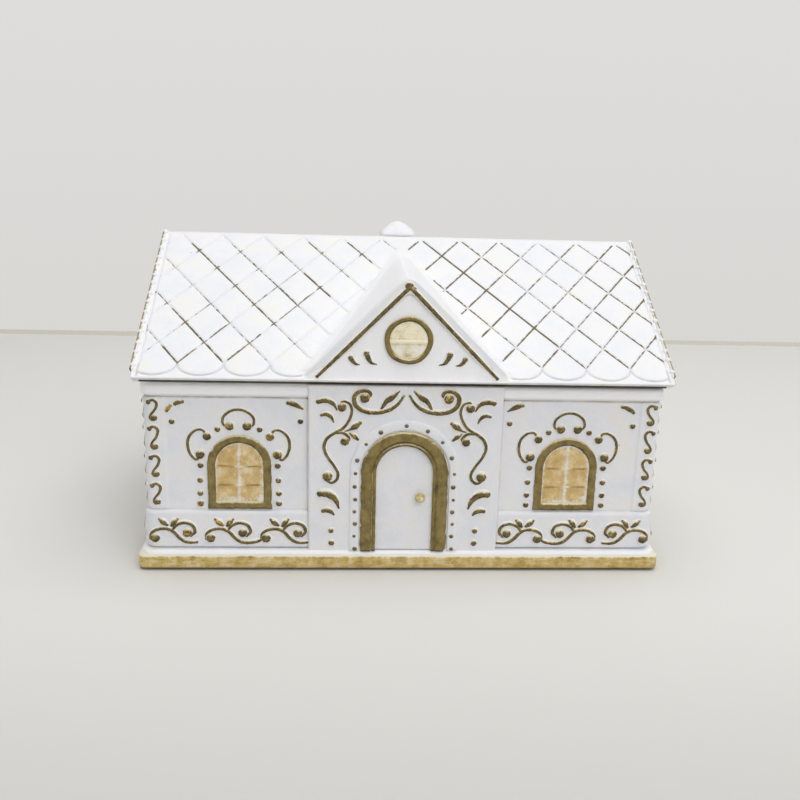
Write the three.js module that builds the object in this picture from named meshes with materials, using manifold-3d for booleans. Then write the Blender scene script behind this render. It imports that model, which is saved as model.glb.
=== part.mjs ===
// House-shaped lidded box with a lattice roof, a centre gable and gilded relief
// Millimetres, +X to the right, +Z up, the front door faces -Y, origin under the middle of the base
import * as THREE from 'three';
import { mergeVertices } from 'three/addons/utils/BufferGeometryUtils.js';
import Module from 'manifold-3d';

const wasm = await Module();
wasm.setup();

// Overall sizes
const PLINTH_W = 200;
const PLINTH_D = 135;
const PAD_T = 1;                        // felt pads under the base
const PLINTH_H = 5.5;
const GAP_Z = 72.8;                     // top of the walls, where the lid rests
const RIDGE_Z = 122.2;
const EAVE_Y = PLINTH_D / 2 + 1.1;      // half depth of the lid
const LID_HALF_W = PLINTH_W / 2 - 1;
const EAVE_Z = 75.3;                    // where the slope meets the eave

// Walls
const WALL_X = PLINTH_W / 2 - 4.15;     // half width of the wall faces
const WALL_Y = PLINTH_D / 2 - 3.9;      // half depth of the wall faces
const WALL_T = 4.5;
const CORNER_R = 3;
const FLOOR_T = 3;
const BAND_OUT = 1.5;                   // how far the dado and cornice stand out
const DADO_TOP = 23.5;
const CORNICE_BOTTOM = 67.4;
const BAY_HALF_W = 36;
const BAY_OUT = 2.5;
const SKIRT_H = 1.3;
const PILASTER_W = 7.4;

// Openings in the relief
const WIN_HALF_W = 11.9;
const WIN_TOP = 52.8;
const FRAME_W = 3.1;
const PANE_T = 0.6;
const BAR_T = 0.9;                      // glazing bars, from the wall to their face
const WIN_X = BAY_HALF_W + 0.42775 * (WALL_X - BAY_HALF_W);   // centre of the front and back windows
const DOOR_HALF_W = 16.4;
const DOOR_TOP = 55.6;
const DOOR_BAND = 5.8;
const HOOD_BAND = 4.2;
const POCKET_D = 1.4;                   // recess that the door leaf is set in
const LEAF_T = 0.8;
const KNOB_X = 6;
const KNOB_Z = 29.7;
const OCULUS_Z = 89.9;
const OCULUS_R = 8.8;
const OCULUS_BAND = 2.7;

// Roof
const SLOPE = (RIDGE_Z - EAVE_Z) / EAVE_Y;
const LATTICE_X = 8.33;                 // half a diamond across
const LATTICE_S = 10.6;                 // half a diamond down the slope
const LATTICE_TOP = 1.3;                // first crossing below the ridge
const GROOVE_W = 0.9;
const GROOVE_D = 0.55;
const SCALLOP_TIP = 81.5;               // lowest point of the rounded tiles, down the slope
const ROOF_T = 5;
const GABLE_Y = EAVE_Y - 1;             // face of the centre gable
const GABLE_APEX = 113.4;
const GABLE_HALF_W = 38;
const GABLE_RISE = 0.0675;              // rise of the gable's ridge towards the back
const TRIM_INSET = 2;                   // white edge of the gable outside its gold line
const TRIM_W = 2.3;
const CHIMNEY_Y = 34;
const CHIMNEY_TOP = 120.6;
const RIM_H = 4;
const LID_CLEAR = 0.7;                  // between the lid's locating rim and the walls
const CUT_GAP = 0.3;                    // between a piece and the neighbour that it is cut by
const SEAT_GAP = 0.3;                   // behind a piece that lies on a wall

const FAR = 4 * PLINTH_W;               // beyond every solid, for cutting blocks
const BASE_Z = PAD_T + PLINTH_H;
const FOOT_Z = BASE_Z + SKIRT_H + CUT_GAP;
const WIN_BOTTOM = DADO_TOP + CUT_GAP;
const LEAF_HALF_W = DOOR_HALF_W - DOOR_BAND + CUT_GAP;
const LEAF_TOP = DOOR_TOP - DOOR_BAND + CUT_GAP;
const FRONT = { x: [1, 0, 0], out: [0, -1, 0] };
const LEFT = { x: [0, -1, 0], out: [-1, 0, 0] };
const RIGHT = { x: [0, 1, 0], out: [1, 0, 0] };

// Solids
function solid(geometry) {
  const g = geometry.clone();
  for (const name of ['normal', 'uv']) {
    if (g.getAttribute(name)) g.deleteAttribute(name);
  }
  const m = mergeVertices(g, 1e-5);
  return new wasm.Manifold(new wasm.Mesh({
    numProp: 3,
    vertProperties: new Float32Array(m.getAttribute('position').array),
    triVerts: new Uint32Array(m.index.array),
  }));
}

function geometryOf(manifold) {
  const mesh = manifold.getMesh();
  const g = new THREE.BufferGeometry();
  g.setAttribute('position', new THREE.BufferAttribute(new Float32Array(mesh.vertProperties), 3));
  g.setIndex(new THREE.BufferAttribute(new Uint32Array(mesh.triVerts), 1));
  g.computeVertexNormals();
  return g;
}

// The same solid with the needless corners on its flat faces taken out
function merged(manifold) {
  return geometryOf(solid(geometryOf(manifold)).simplify(0.001));
}

function union(list) {
  return list.reduce((a, b) => a.add(b));
}

function box(x0, x1, y0, y1, z0, z1) {
  const g = new THREE.BoxGeometry(x1 - x0, y1 - y0, z1 - z0);
  g.translate((x0 + x1) / 2, (y0 + y1) / 2, (z0 + z1) / 2);
  return solid(g);
}

function polygon(points) {
  return new THREE.Shape(points.map(([a, b]) => new THREE.Vector2(a, b)));
}

function roundedRect(hx, hy, r, steps = 4) {
  const points = [];
  const corners = [[hx - r, hy - r, 0], [r - hx, hy - r, 90], [r - hx, r - hy, 180], [hx - r, r - hy, 270]];
  for (const [cx, cy, start] of corners) {
    for (let i = 0; i <= steps; i += 1) {
      const t = THREE.MathUtils.degToRad(start + (90 * i) / steps);
      points.push([cx + r * Math.cos(t), cy + r * Math.sin(t)]);
    }
  }
  return polygon(points);
}

// A level slab with rounded upper and lower edges
function softSlab(hx, hy, r, z0, z1, edge, segments = 3) {
  const g = new THREE.ExtrudeGeometry(roundedRect(hx - edge, hy - edge, r), {
    depth: z1 - z0 - 2 * edge,
    bevelEnabled: true,
    bevelThickness: edge,
    bevelSize: edge,
    bevelSegments: segments,
    steps: 1,
  });
  g.translate(0, 0, z0 + edge);
  return solid(g);
}

function plainSlab(hx, hy, r, z0, z1) {
  const g = new THREE.ExtrudeGeometry(roundedRect(hx, hy, r), { depth: z1 - z0, bevelEnabled: false });
  g.translate(0, 0, z0);
  return solid(g);
}

// A solid drawn flat on a wall, with a to the right, b up and c out of it, moved to that wall
function onWall(manifold, face, distance) {
  const out = new THREE.Vector3(...face.out);
  const m = new THREE.Matrix4().makeBasis(new THREE.Vector3(...face.x), new THREE.Vector3(0, 0, 1), out);
  m.setPosition(out.multiplyScalar(distance));
  const g = geometryOf(manifold);
  g.applyMatrix4(m);
  return solid(g);
}

function archPoints(halfW, bottom, top, steps = 12) {
  const points = [[-halfW, bottom], [halfW, bottom]];
  const spring = top - halfW;
  for (let i = 0; i <= steps; i += 1) {
    const t = (Math.PI * i) / steps;
    points.push([halfW * Math.cos(t), spring + halfW * Math.sin(t)]);
  }
  return points;
}

// A flat plate with a rounded front edge, seated on the wall at c = 0
function plate(points, thick, edge, holes = []) {
  const shape = polygon(points);
  for (const hole of holes) shape.holes.push(polygon(hole));
  const buried = 2;
  const g = new THREE.ExtrudeGeometry(shape, {
    depth: buried + thick - edge,
    bevelEnabled: edge > 0,
    bevelThickness: edge,
    bevelSize: edge,
    bevelOffset: -edge,
    bevelSegments: 1,
    steps: 1,
  });
  g.translate(0, 0, -buried);
  return solid(g).subtract(box(-FAR, FAR, -FAR, FAR, -FAR, SEAT_GAP));
}

// A low dome, seated on the wall
function dome(a, b, r, h, sides = 9) {
  const profile = [[0, SEAT_GAP], [r, SEAT_GAP], [r * 0.7, h * 0.75], [0, h]];
  const g = new THREE.LatheGeometry(profile.map(([x, y]) => new THREE.Vector2(x, y)), sides);
  g.rotateX(Math.PI / 2);
  g.translate(a, b, 0);
  return solid(g);
}

// A raised line along a smooth path through the given points, as wide as the widths say
function stroke(points, widths, height, segments = 2) {
  const path = points.map(([a, b]) => new THREE.Vector3(a, b, 0));
  const curve = new THREE.CatmullRomCurve3(path, false, 'centripetal');
  const n = (points.length - 1) * segments;
  const section = [[-0.5, 0], [-0.24, 1], [0.24, 1], [0.5, 0]];
  const rise = height - SEAT_GAP;
  const position = [];
  const index = [];
  for (let i = 0; i <= n; i += 1) {
    const t = i / n;
    const p = curve.getPoint(t);
    const d = curve.getTangent(t);
    const at = t * (widths.length - 1);
    const k = Math.min(Math.floor(at), widths.length - 2);
    const w = THREE.MathUtils.lerp(widths[k], widths[k + 1], at - k);
    const h = rise * Math.min(1, 0.45 + (0.55 * w) / Math.max(...widths));
    for (const [side, up] of section) {
      position.push(p.x + d.y * side * w, p.y - d.x * side * w, SEAT_GAP + up * h);
    }
  }
  const s = section.length;
  for (let i = 0; i < n; i += 1) {
    for (let j = 0; j < s; j += 1) {
      const a = i * s + j;
      const b = i * s + ((j + 1) % s);
      index.push(a, b, a + s, b, b + s, a + s);
    }
  }
  for (let j = 1; j < s - 1; j += 1) {
    index.push(0, j + 1, j);
    index.push(n * s, n * s + j, n * s + j + 1);
  }
  const g = new THREE.BufferGeometry();
  g.setAttribute('position', new THREE.Float32BufferAttribute(position, 3));
  g.setIndex(index);
  return solid(g);
}

function mirrored(manifold) {
  return manifold.mirror([1, 0, 0]);
}

// Box body
function wallShell() {
  let m = plainSlab(WALL_X, WALL_Y, CORNER_R, BASE_Z, GAP_Z);
  const pilasters = softSlab(WALL_X + 0.4, WALL_Y + 0.4, CORNER_R, BASE_Z, GAP_Z, 0.4, 1)
    .subtract(box(PILASTER_W - WALL_X, WALL_X - PILASTER_W, -FAR, FAR, -FAR, FAR))
    .subtract(box(-FAR, FAR, PILASTER_W - WALL_Y, WALL_Y - PILASTER_W, -FAR, FAR));
  m = m.add(pilasters);
  m = m.add(skirt());
  m = m.add(softSlab(WALL_X + BAND_OUT, WALL_Y + BAND_OUT, CORNER_R, BASE_Z, DADO_TOP, 1.2)
    .subtract(box(-FAR, FAR, -FAR, FAR, -FAR, BASE_Z + SKIRT_H - 0.2)));
  m = m.add(softSlab(WALL_X + BAND_OUT, WALL_Y + BAND_OUT, CORNER_R, CORNICE_BOTTOM, GAP_Z, 1.5));
  return m;
}

// The low step between the plinth's top edge and the dado
function skirt() {
  const hx = PLINTH_W / 2 - 0.5;
  const hy = PLINTH_D / 2 - 0.5;
  const run = 1.6;
  const g = new THREE.ExtrudeGeometry(roundedRect(hx - run, hy - run, CORNER_R), {
    depth: 2,
    bevelEnabled: true,
    bevelThickness: SKIRT_H,
    bevelSize: run,
    bevelSegments: 3,
    steps: 1,
  });
  g.translate(0, 0, BASE_Z - 2);
  return solid(g).subtract(box(-FAR, FAR, -FAR, FAR, -FAR, BASE_Z));
}

function bay() {
  const front = WALL_Y + BAY_OUT;
  const edge = 0.8;
  const half = BAY_HALF_W - edge;
  const top = GAP_Z - edge;
  const shape = polygon([[-half, BASE_Z - 5], [half, BASE_Z - 5], [half, top], [-half, top]]);
  const g = new THREE.ExtrudeGeometry(shape, {
    depth: 10,
    bevelEnabled: true,
    bevelThickness: edge,
    bevelSize: edge,
    bevelSegments: 2,
    steps: 1,
  });
  const m = onWall(solid(g), FRONT, front - 10 - edge);
  return m.subtract(box(-FAR, FAR, -FAR, 0, -FAR, BASE_Z));
}

function doorPocket() {
  const half = LEAF_HALF_W + CUT_GAP;
  const outline = archPoints(half, FOOT_Z - CUT_GAP, LEAF_TOP + CUT_GAP, 10);
  const g = new THREE.ExtrudeGeometry(polygon(outline), { depth: 5, bevelEnabled: false });
  return onWall(solid(g), FRONT, WALL_Y + BAY_OUT - POCKET_D);
}

function houseBody() {
  let m = wallShell().add(bay());
  m = m.subtract(plainSlab(WALL_X - WALL_T, WALL_Y - WALL_T, CORNER_R + 1, BASE_Z + FLOOR_T, GAP_Z + 10));
  return m.subtract(doorPocket());
}

function plinth() {
  return softSlab(PLINTH_W / 2, PLINTH_D / 2, CORNER_R, PAD_T, BASE_Z, 0.5, 2);
}

function feltPad() {
  const g = new THREE.CylinderGeometry(6, 6, PAD_T, 20);
  g.rotateX(Math.PI / 2);
  g.translate(0, 0, PAD_T / 2);
  return solid(g);
}

// Door
function doorLeaf() {
  return plate(archPoints(LEAF_HALF_W, FOOT_Z, LEAF_TOP, 10), LEAF_T, 0);
}

function doorKnob() {
  const profile = [[0, 0], [1, 0], [1, 0.5], [1.75, 0.75], [2, 1.3], [1.7, 1.95], [0.9, 2.3], [0, 2.4]];
  const g = new THREE.LatheGeometry(profile.map(([x, y]) => new THREE.Vector2(x, y)), 14);
  g.rotateX(Math.PI / 2);
  return solid(g);
}

function doorSurround() {
  return plate(uPoints(DOOR_HALF_W, DOOR_TOP, DOOR_HALF_W - DOOR_BAND, DOOR_TOP - DOOR_BAND), 1.3, 0.4);
}

// An arched band that stands on the skirt, open at the foot
function uPoints(outerHalf, outerTop, innerHalf, innerTop, steps = 16) {
  const points = [[innerHalf, FOOT_Z], [outerHalf, FOOT_Z]];
  for (let i = 0; i <= steps; i += 1) {
    const t = (Math.PI * i) / steps;
    points.push([outerHalf * Math.cos(t), outerTop - outerHalf + outerHalf * Math.sin(t)]);
  }
  points.push([-outerHalf, FOOT_Z], [-innerHalf, FOOT_Z]);
  for (let i = steps; i >= 0; i -= 1) {
    const t = (Math.PI * i) / steps;
    points.push([innerHalf * Math.cos(t), innerTop - innerHalf + innerHalf * Math.sin(t)]);
  }
  return points;
}

// The white band round the surround, with its row of studs
function doorHood() {
  const inner = DOOR_HALF_W + CUT_GAP;
  const outer = DOOR_HALF_W + HOOD_BAND;
  const band = plate(uPoints(outer, DOOR_TOP + HOOD_BAND, inner, DOOR_TOP + CUT_GAP), 0.8, 0.3);
  const studs = studPlaces().map(([a, b]) => dome(a, b, 0.65, 1.2, 5));
  return union([band, ...studs]);
}

function studPlaces() {
  const places = [[0, DOOR_TOP + 2.1]];
  const r = DOOR_HALF_W + 2.1;
  const spring = DOOR_TOP - DOOR_HALF_W;
  for (const deg of [62, 40, 18]) {
    const t = THREE.MathUtils.degToRad(deg);
    places.push([r * Math.cos(t), spring + r * Math.sin(t)], [-r * Math.cos(t), spring + r * Math.sin(t)]);
  }
  for (let i = 0; i < 7; i += 1) {
    places.push([r, spring - i * 5.05], [-r, spring - i * 5.05]);
  }
  return places;
}

// Windows
function windowFrame() {
  return plate(archPoints(WIN_HALF_W, WIN_BOTTOM, WIN_TOP), 1.3, 0.4,
    [archPoints(WIN_HALF_W - FRAME_W, WIN_BOTTOM + FRAME_W, WIN_TOP - FRAME_W)]);
}

function windowPane() {
  const inset = FRAME_W + CUT_GAP;
  const half = WIN_HALF_W - inset;
  const foot = WIN_BOTTOM + inset;
  let m = plate(archPoints(half, foot, WIN_TOP - inset, 8), PANE_T, 0);
  const bars = [
    [-0.5, 0.5, foot, WIN_TOP - inset - 0.5],
    [1 - half, half - 1, 40.3, 41.3],
    [0.4 - half, half - 0.4, 32.9, 33.9],
  ];
  for (const [a0, a1, b0, b1] of bars) {
    m = m.add(box(a0, a1, b0, b1, SEAT_GAP, BAR_T));
  }
  return m;
}

// Scrolls above and beside the front windows, about the window's centre line
function crestTop() {
  const path = [[-3.3, 55.6], [-5.6, 57.1], [-5.2, 60], [-2, 62.3],
    [2, 62.3], [5.2, 60], [5.6, 57.1], [3.3, 55.6]];
  const line = stroke(path, [1.2, 1.5, 1.6, 1.5, 1.2], 0.9);
  return union([line, dome(-3.2, 56.3, 1.7, 1.2), dome(3.2, 56.3, 1.7, 1.2)]);
}

function crestSide() {
  const path = [[12, 52.9], [13.2, 54.7], [15.6, 54.5], [18, 52.2], [18.7, 48.7], [17.8, 45.3], [15.8, 43.2],
    [14.4, 44.5]];
  const line = stroke(path, [1.1, 1.5, 1.6, 1.5, 1.1], 0.9);
  return union([line, dome(11.3, 52, 1.6, 1.2), dome(14.1, 45.4, 1.7, 1.2)]);
}

// Running vine of the dado, from the bay to the corner
function vine() {
  const pitch = (WALL_X - BAY_HALF_W + 2.25) / 3;
  const start = -BAY_HALF_W - 4.4;
  const parts = [];
  const wave = [[start + 3.9, 11]];
  for (let i = 0; i < 3; i += 1) {
    const c = start - i * pitch;
    wave.push([c + 0.9, 11]);
    wave.push([c - 2.1, 12.9]);
    wave.push([c - 5, 15.6]);
    wave.push([c - 9.2, 16.6]);
    wave.push([c - 12.6, 15.2]);
    if (i < 2) wave.push([c - 14.8, 12.2], [c - 17.6, 10.1]);
    const curl = [[c - 4.6, 15.4], [c - 3.3, 17.6], [c - 0.3, 18.7],
      [c + 2.5, 17.6], [c + 3.5, 15], [c + 1.8, 13.5]];
    parts.push(stroke(curl, [1.2, 1.5, 1.5, 1.2], 0.9));
    parts.push(dome(c + 0.4, 14.7, 1.6, 1.2));
    if (i < 2) parts.push(dome(c - 11.7, 12.6, 1.9, 1.2));
    parts.push(stroke([[c - 5.4, 15.8], [c - 4.4, 18.2], [c - 3.2, 20.4]], [0.8, 1.9, 0.5], 0.9));
    parts.push(stroke([[c - 6.4, 16.2], [c - 7.6, 18.2], [c - 9.4, 20]], [0.8, 1.9, 0.5], 0.9));
  }
  const end = start - 2 * pitch;
  wave.push([end - 13.2, 13.6]);
  parts.push(dome(end - 11.9, 12.5, 1.8, 1.2));
  parts.push(stroke(wave, [1.4, 1.7, 1.7, 1.7, 1.4], 0.9));
  return union(parts);
}

// Scrolls on the bay, left-hand side
function bayTopScroll() {
  const path = [[-14.2, 68.4], [-13.2, 69.6], [-14.6, 70.9], [-17.4, 70.6], [-19.2, 68.4], [-18.6, 65.4],
    [-15.6, 63.3], [-11.2, 62.7], [-6.6, 63.7], [-3.2, 66], [-1.2, 69]];
  const line = stroke(path, [1.2, 1.6, 1.8, 2, 2.1, 2, 1.7, 1], 1);
  const leaf = stroke([[-9.6, 63.4], [-7.6, 66.8], [-5.4, 68.6], [-2.8, 70.7]], [0.8, 1.7, 2.1, 0.6], 1);
  return union([line, dome(-15.3, 68.1, 1.6, 1.3), leaf]);
}

function baySideScroll() {
  const path = [[-24.2, 65], [-23.2, 66.8], [-20.9, 65.9], [-20, 63], [-21, 59.6], [-23.2, 56.6],
    [-26.4, 54.7], [-29.1, 52.4], [-30.1, 49.2], [-29, 45.8], [-26.6, 42.3], [-25, 39.4],
    [-25.2, 36.9], [-27.2, 35.4], [-29.4, 36.6]];
  const stem = stroke(path, [1.1, 1.5, 1.5, 1.5, 1.7, 1.8, 1.6, 1.6, 1.5, 1.2], 1);
  const curl = stroke([[-25.9, 54.9], [-23, 54.8], [-21, 53], [-21.3, 51.5]], [1.4, 1.4, 1.2], 0.9);
  const leafUp = stroke([[-23, 55.2], [-20.3, 56.2], [-18.2, 57.7], [-16.3, 59]], [0.8, 1.6, 2, 0.6], 0.9);
  return union([stem, curl, leafUp, dome(-23.9, 64.4, 1.7, 1.3), dome(-28.8, 38.1, 1.9, 1.3),
    dome(-22.3, 51.3, 1.6, 1.2)]);
}

// Lid
function roofPrism(inset, halfLength, bevel) {
  const top = RIDGE_Z - inset * Math.hypot(1, SLOPE);
  const side = EAVE_Y - inset;
  const low = GAP_Z + inset;
  const eave = top - SLOPE * side;
  const shape = polygon([[-side, low], [side, low], [side, eave], [0, top], [-side, eave]]);
  const g = new THREE.ExtrudeGeometry(shape, {
    depth: 2 * (halfLength - bevel),
    bevelEnabled: bevel > 0,
    bevelThickness: bevel,
    bevelSize: bevel,
    bevelSegments: 3,
    steps: 1,
  });
  return alongHouse(g, -(halfLength - bevel));
}

// A profile drawn in Y and Z and extruded along X from the given place
function alongHouse(geometry, start) {
  const m = new THREE.Matrix4().makeBasis(new THREE.Vector3(0, 1, 0), new THREE.Vector3(0, 0, 1),
    new THREE.Vector3(1, 0, 0));
  m.setPosition(start, 0, 0);
  geometry.applyMatrix4(m);
  return solid(geometry);
}

// The gable over the door: a prism whose ridge rises a little towards the back
function gable() {
  const edge = 1.8;
  const pitch = (GABLE_APEX - EAVE_Z) / GABLE_HALF_W;
  const apex = GABLE_APEX - edge * Math.hypot(1, pitch);
  const half = (apex - GAP_Z - edge) / pitch;
  const shape = polygon([[-half, GAP_Z + edge], [half, GAP_Z + edge], [0, apex]]);
  const g = new THREE.ExtrudeGeometry(shape, {
    depth: GABLE_Y - 2,
    bevelEnabled: true,
    bevelThickness: edge,
    bevelSize: edge,
    bevelSegments: 3,
    steps: 1,
  });
  g.translate(0, 0, -(GABLE_Y - 2) - edge);
  return lean(onWall(solid(g), FRONT, GABLE_Y));
}

function lean(manifold) {
  const g = geometryOf(manifold);
  const p = g.getAttribute('position');
  for (let i = 0; i < p.count; i += 1) {
    const low = (p.getZ(i) - GAP_Z) / (GABLE_APEX - GAP_Z);
    p.setZ(i, p.getZ(i) + Math.max(0, low) * GABLE_RISE * (p.getY(i) + GABLE_Y));
  }
  return solid(g);
}

function lidCavity() {
  const y = WALL_Y - WALL_T - LID_CLEAR - 3;
  const x = WALL_X - WALL_T - LID_CLEAR - 3;
  const top = RIDGE_Z - ROOF_T * Math.hypot(1, SLOPE);
  const low = GAP_Z - RIM_H - 5;
  const shape = polygon([[-y, low], [y, low], [y, top - SLOPE * y], [0, top], [-y, top - SLOPE * y]]);
  return alongHouse(new THREE.ExtrudeGeometry(shape, { depth: 2 * x, bevelEnabled: false }), -x);
}

// The hollow behind the centre gable
function gableCavity() {
  const pitch = (GABLE_APEX - EAVE_Z) / GABLE_HALF_W;
  const apex = GABLE_APEX - ROOF_T * Math.hypot(1, pitch);
  const low = GAP_Z + 6;
  const half = (apex - low) / pitch;
  const shape = polygon([[-half, low], [half, low], [0, apex]]);
  const reach = GABLE_Y - 14;
  const g = new THREE.ExtrudeGeometry(shape, { depth: reach, bevelEnabled: false });
  return onWall(solid(g), FRONT, GABLE_Y - ROOF_T - reach);
}

// A V-shaped cutter along a line given in slope coordinates: x across, s down from the ridge
function grooveCutter(x0, s0, x1, s1) {
  const length = Math.hypot(x1 - x0, s1 - s0);
  const w = GROOVE_W / 2;
  const shape = polygon([[-w * 2, GROOVE_D], [0, -GROOVE_D], [w * 2, GROOVE_D]]);
  const g = new THREE.ExtrudeGeometry(shape, { depth: length, bevelEnabled: false });
  const along = new THREE.Vector3(x1 - x0, s1 - s0, 0).normalize();
  const up = new THREE.Vector3(0, 0, 1);
  const side = new THREE.Vector3().crossVectors(up, along);
  const m = new THREE.Matrix4().makeBasis(side, up, along);
  m.setPosition(x0, s0, 0);
  g.applyMatrix4(m);
  return solid(g);
}

// Cutters for one slope, drawn flat, clipped to the field and laid on the slope
function latticeCutters(front) {
  const edge = LID_HALF_W - 3;
  const low = LATTICE_TOP + 7 * LATTICE_S;
  const reach = 2 * Math.ceil((edge / LATTICE_X + 7) / 2);
  const cutters = [];
  const add = (a, b) => {
    if (Math.hypot(b[0] - a[0], b[1] - a[1]) > 0.5) cutters.push(grooveCutter(a[0], a[1], b[0], b[1]));
  };
  for (const dir of [1, -1]) {
    for (let k = -reach; k <= reach; k += 2) {
      const x0 = (k + 1) * LATTICE_X;
      const at = (s) => x0 + (dir * (s - LATTICE_TOP) * LATTICE_X) / LATTICE_S;
      const inv = (x) => LATTICE_TOP + ((x - x0) * LATTICE_S) / (LATTICE_X * dir);
      const bounds = [inv(-edge), inv(edge)].sort((p, q) => p - q);
      const s0 = Math.max(2.2, bounds[0]);
      const s1 = Math.min(low, bounds[1]);
      if (s1 > s0) add([at(s0), s0], [at(s1), s1]);
    }
  }
  for (let i = 1 - reach; i < reach; i += 2) cutters.push(...scallop(i * LATTICE_X, low, edge));
  for (const sign of [-1, 1]) add([sign * edge, 2.2], [sign * edge, low + 2]);
  const g = geometryOf(union(cutters));
  const angle = Math.atan(SLOPE);
  const y = front ? -1 : 1;
  const m = new THREE.Matrix4().makeBasis(new THREE.Vector3(y, 0, 0),
    new THREE.Vector3(0, y * Math.cos(angle), -Math.sin(angle)),
    new THREE.Vector3(0, y * Math.sin(angle), Math.cos(angle)));
  m.setPosition(0, 0, RIDGE_Z);
  g.applyMatrix4(m);
  return solid(g);
}

// The rounded lower edge of a tile in the last row
function scallop(x, s, edge) {
  const cutters = [];
  const depth = SCALLOP_TIP - s;
  let last = null;
  for (let i = 0; i <= 5; i += 1) {
    const t = (Math.PI * i) / 5;
    const p = [x - LATTICE_X * Math.cos(t), s + depth * Math.sin(t)];
    if (last && Math.abs(p[0]) <= edge + 0.01 && Math.abs(last[0]) <= edge + 0.01) {
      cutters.push(grooveCutter(last[0], last[1], p[0], p[1]));
    }
    last = p;
  }
  return cutters;
}

function gablePockets() {
  const inset = 6.5;
  const top = RIDGE_Z - inset * Math.hypot(1, SLOPE);
  const low = GAP_Z + 3.5;
  const half = (top - low) / SLOPE;
  const shape = polygon([[-half, low], [half, low], [0, top]]);
  const g = new THREE.ExtrudeGeometry(shape, { depth: 5, bevelEnabled: false });
  return onWall(solid(g), LEFT, LID_HALF_W - 2).add(onWall(solid(g), RIGHT, LID_HALF_W - 2));
}

function roofLid() {
  let m = roofPrism(1, LID_HALF_W, 1);
  m = m.subtract(latticeCutters(true)).subtract(latticeCutters(false));
  m = m.add(gable());
  m = m.subtract(gablePockets());
  const rx = WALL_X - WALL_T - LID_CLEAR;
  const ry = WALL_Y - WALL_T - LID_CLEAR;
  m = m.add(plainSlab(rx, ry, CORNER_R, GAP_Z - RIM_H, GAP_Z + 2));
  return m.subtract(lidCavity()).subtract(gableCavity());
}

function chimney() {
  const shaft = box(-6.5, 6.5, CHIMNEY_Y - 5.5, CHIMNEY_Y + 5.5, 80, CHIMNEY_TOP);
  const lift = CUT_GAP * Math.hypot(1, SLOPE);
  const g = new THREE.BoxGeometry(PLINTH_W, 2 * PLINTH_D, PLINTH_D);
  const angle = Math.atan(SLOPE);
  g.translate(0, 0, -PLINTH_D / 2);
  g.rotateX(-angle);
  g.translate(0, 0, RIDGE_Z + lift);
  return shaft.subtract(solid(g));
}

function chimneyCap() {
  const rows = [[0, 0], [0.94, 0], [1, 0.16], [0.9, 0.42], [0.6, 0.74], [0.26, 0.95], [0, 1]];
  const g = new THREE.LatheGeometry(rows.map(([r, h]) => new THREE.Vector2(r, h)), 20);
  g.rotateX(Math.PI / 2);
  const p = g.getAttribute('position');
  for (let i = 0; i < p.count; i += 1) {
    const x = p.getX(i);
    const y = p.getY(i);
    const z = p.getZ(i);
    const round = Math.hypot(x, y) || 1;
    const square = (Math.abs(x) ** 3.2 + Math.abs(y) ** 3.2) ** (1 / 3.2) || 1;
    const k = THREE.MathUtils.lerp(round / square, 1, Math.min(1, z * 1.1));
    p.setXYZ(i, x * k * 8.6, y * k * 7.6, z * 6.6);
  }
  return solid(g);
}

// Gilded pieces of the lid
function gableTrim() {
  const pitch = (GABLE_APEX - EAVE_Z) / GABLE_HALF_W;
  const foot = GAP_Z + 3.6;
  const point = (inset) => {
    const apex = GABLE_APEX - inset * Math.hypot(1, pitch);
    return [(apex - foot) / pitch, apex];
  };
  const [outerHalf, outerTop] = point(TRIM_INSET);
  const [innerHalf, innerTop] = point(TRIM_INSET + TRIM_W);
  const outer = [[-outerHalf, foot], [0, outerTop], [outerHalf, foot]];
  const inner = [[innerHalf, foot], [0, innerTop], [-innerHalf, foot]];
  return plate([...outer, ...inner], 1, 0.3);
}

function oculusFrame() {
  const r0 = OCULUS_R - OCULUS_BAND;
  const r1 = OCULUS_R;
  const outside = [[r0, SEAT_GAP], [r1, SEAT_GAP], [r1, 0.6], [r1 - 0.5, 1]];
  const inside = [[r0 + 0.5, 1], [r0, 0.6], [r0, SEAT_GAP]];
  const ring = [...outside, ...inside].map(([x, y]) => new THREE.Vector2(x, y));
  const g = new THREE.LatheGeometry(ring, 24);
  g.rotateX(Math.PI / 2);
  return solid(g);
}

function oculusPane() {
  const r = OCULUS_R - OCULUS_BAND - CUT_GAP;
  const g = new THREE.CylinderGeometry(r, r, PANE_T - SEAT_GAP, 22);
  g.rotateX(Math.PI / 2);
  g.translate(0, 0, (PANE_T + SEAT_GAP) / 2);
  const reach = r - 0.3;
  return solid(g)
    .add(box(-reach, reach, -0.5, 0.5, SEAT_GAP, BAR_T))
    .add(box(-0.45, 0.45, -reach, reach, SEAT_GAP, BAR_T));
}

// Small leaves, thick at the head and fine at the tail: two in the pediment, four on the bay, left-hand side
function pedimentLeafInner() {
  return stroke([[-14.7, 84.8], [-14.3, 83], [-13.2, 81.5], [-11.4, 80.9]], [1, 1.7, 1.6, 0.7], 1);
}

function pedimentLeafOuter() {
  return stroke([[-20.4, 83.2], [-19.9, 81.9], [-18.8, 80.8]], [0.9, 1.4, 0.6], 1);
}

function bayLeafUpper() {
  return stroke([[-32.2, 66.6], [-29.5, 67.1], [-26.9, 65.9], [-25.6, 63.6]], [1.3, 2.1, 1.7, 0.7], 1);
}

function bayLeafLower() {
  return stroke([[-31, 61.5], [-29.2, 61.9], [-27.5, 60.7], [-26.7, 58.9]], [1.2, 1.8, 1.5, 0.6], 1);
}

function bayCommaUpper() {
  return stroke([[-31.4, 31.1], [-28.6, 31], [-25.8, 28.8], [-24.5, 25.3]], [1.8, 2.6, 2.1, 0.8], 1);
}

function bayCommaLower() {
  return stroke([[-30.2, 24.1], [-28.4, 24.2], [-26.6, 23], [-25.7, 21.4]], [1.4, 2, 1.6, 0.7], 1);
}

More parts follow.
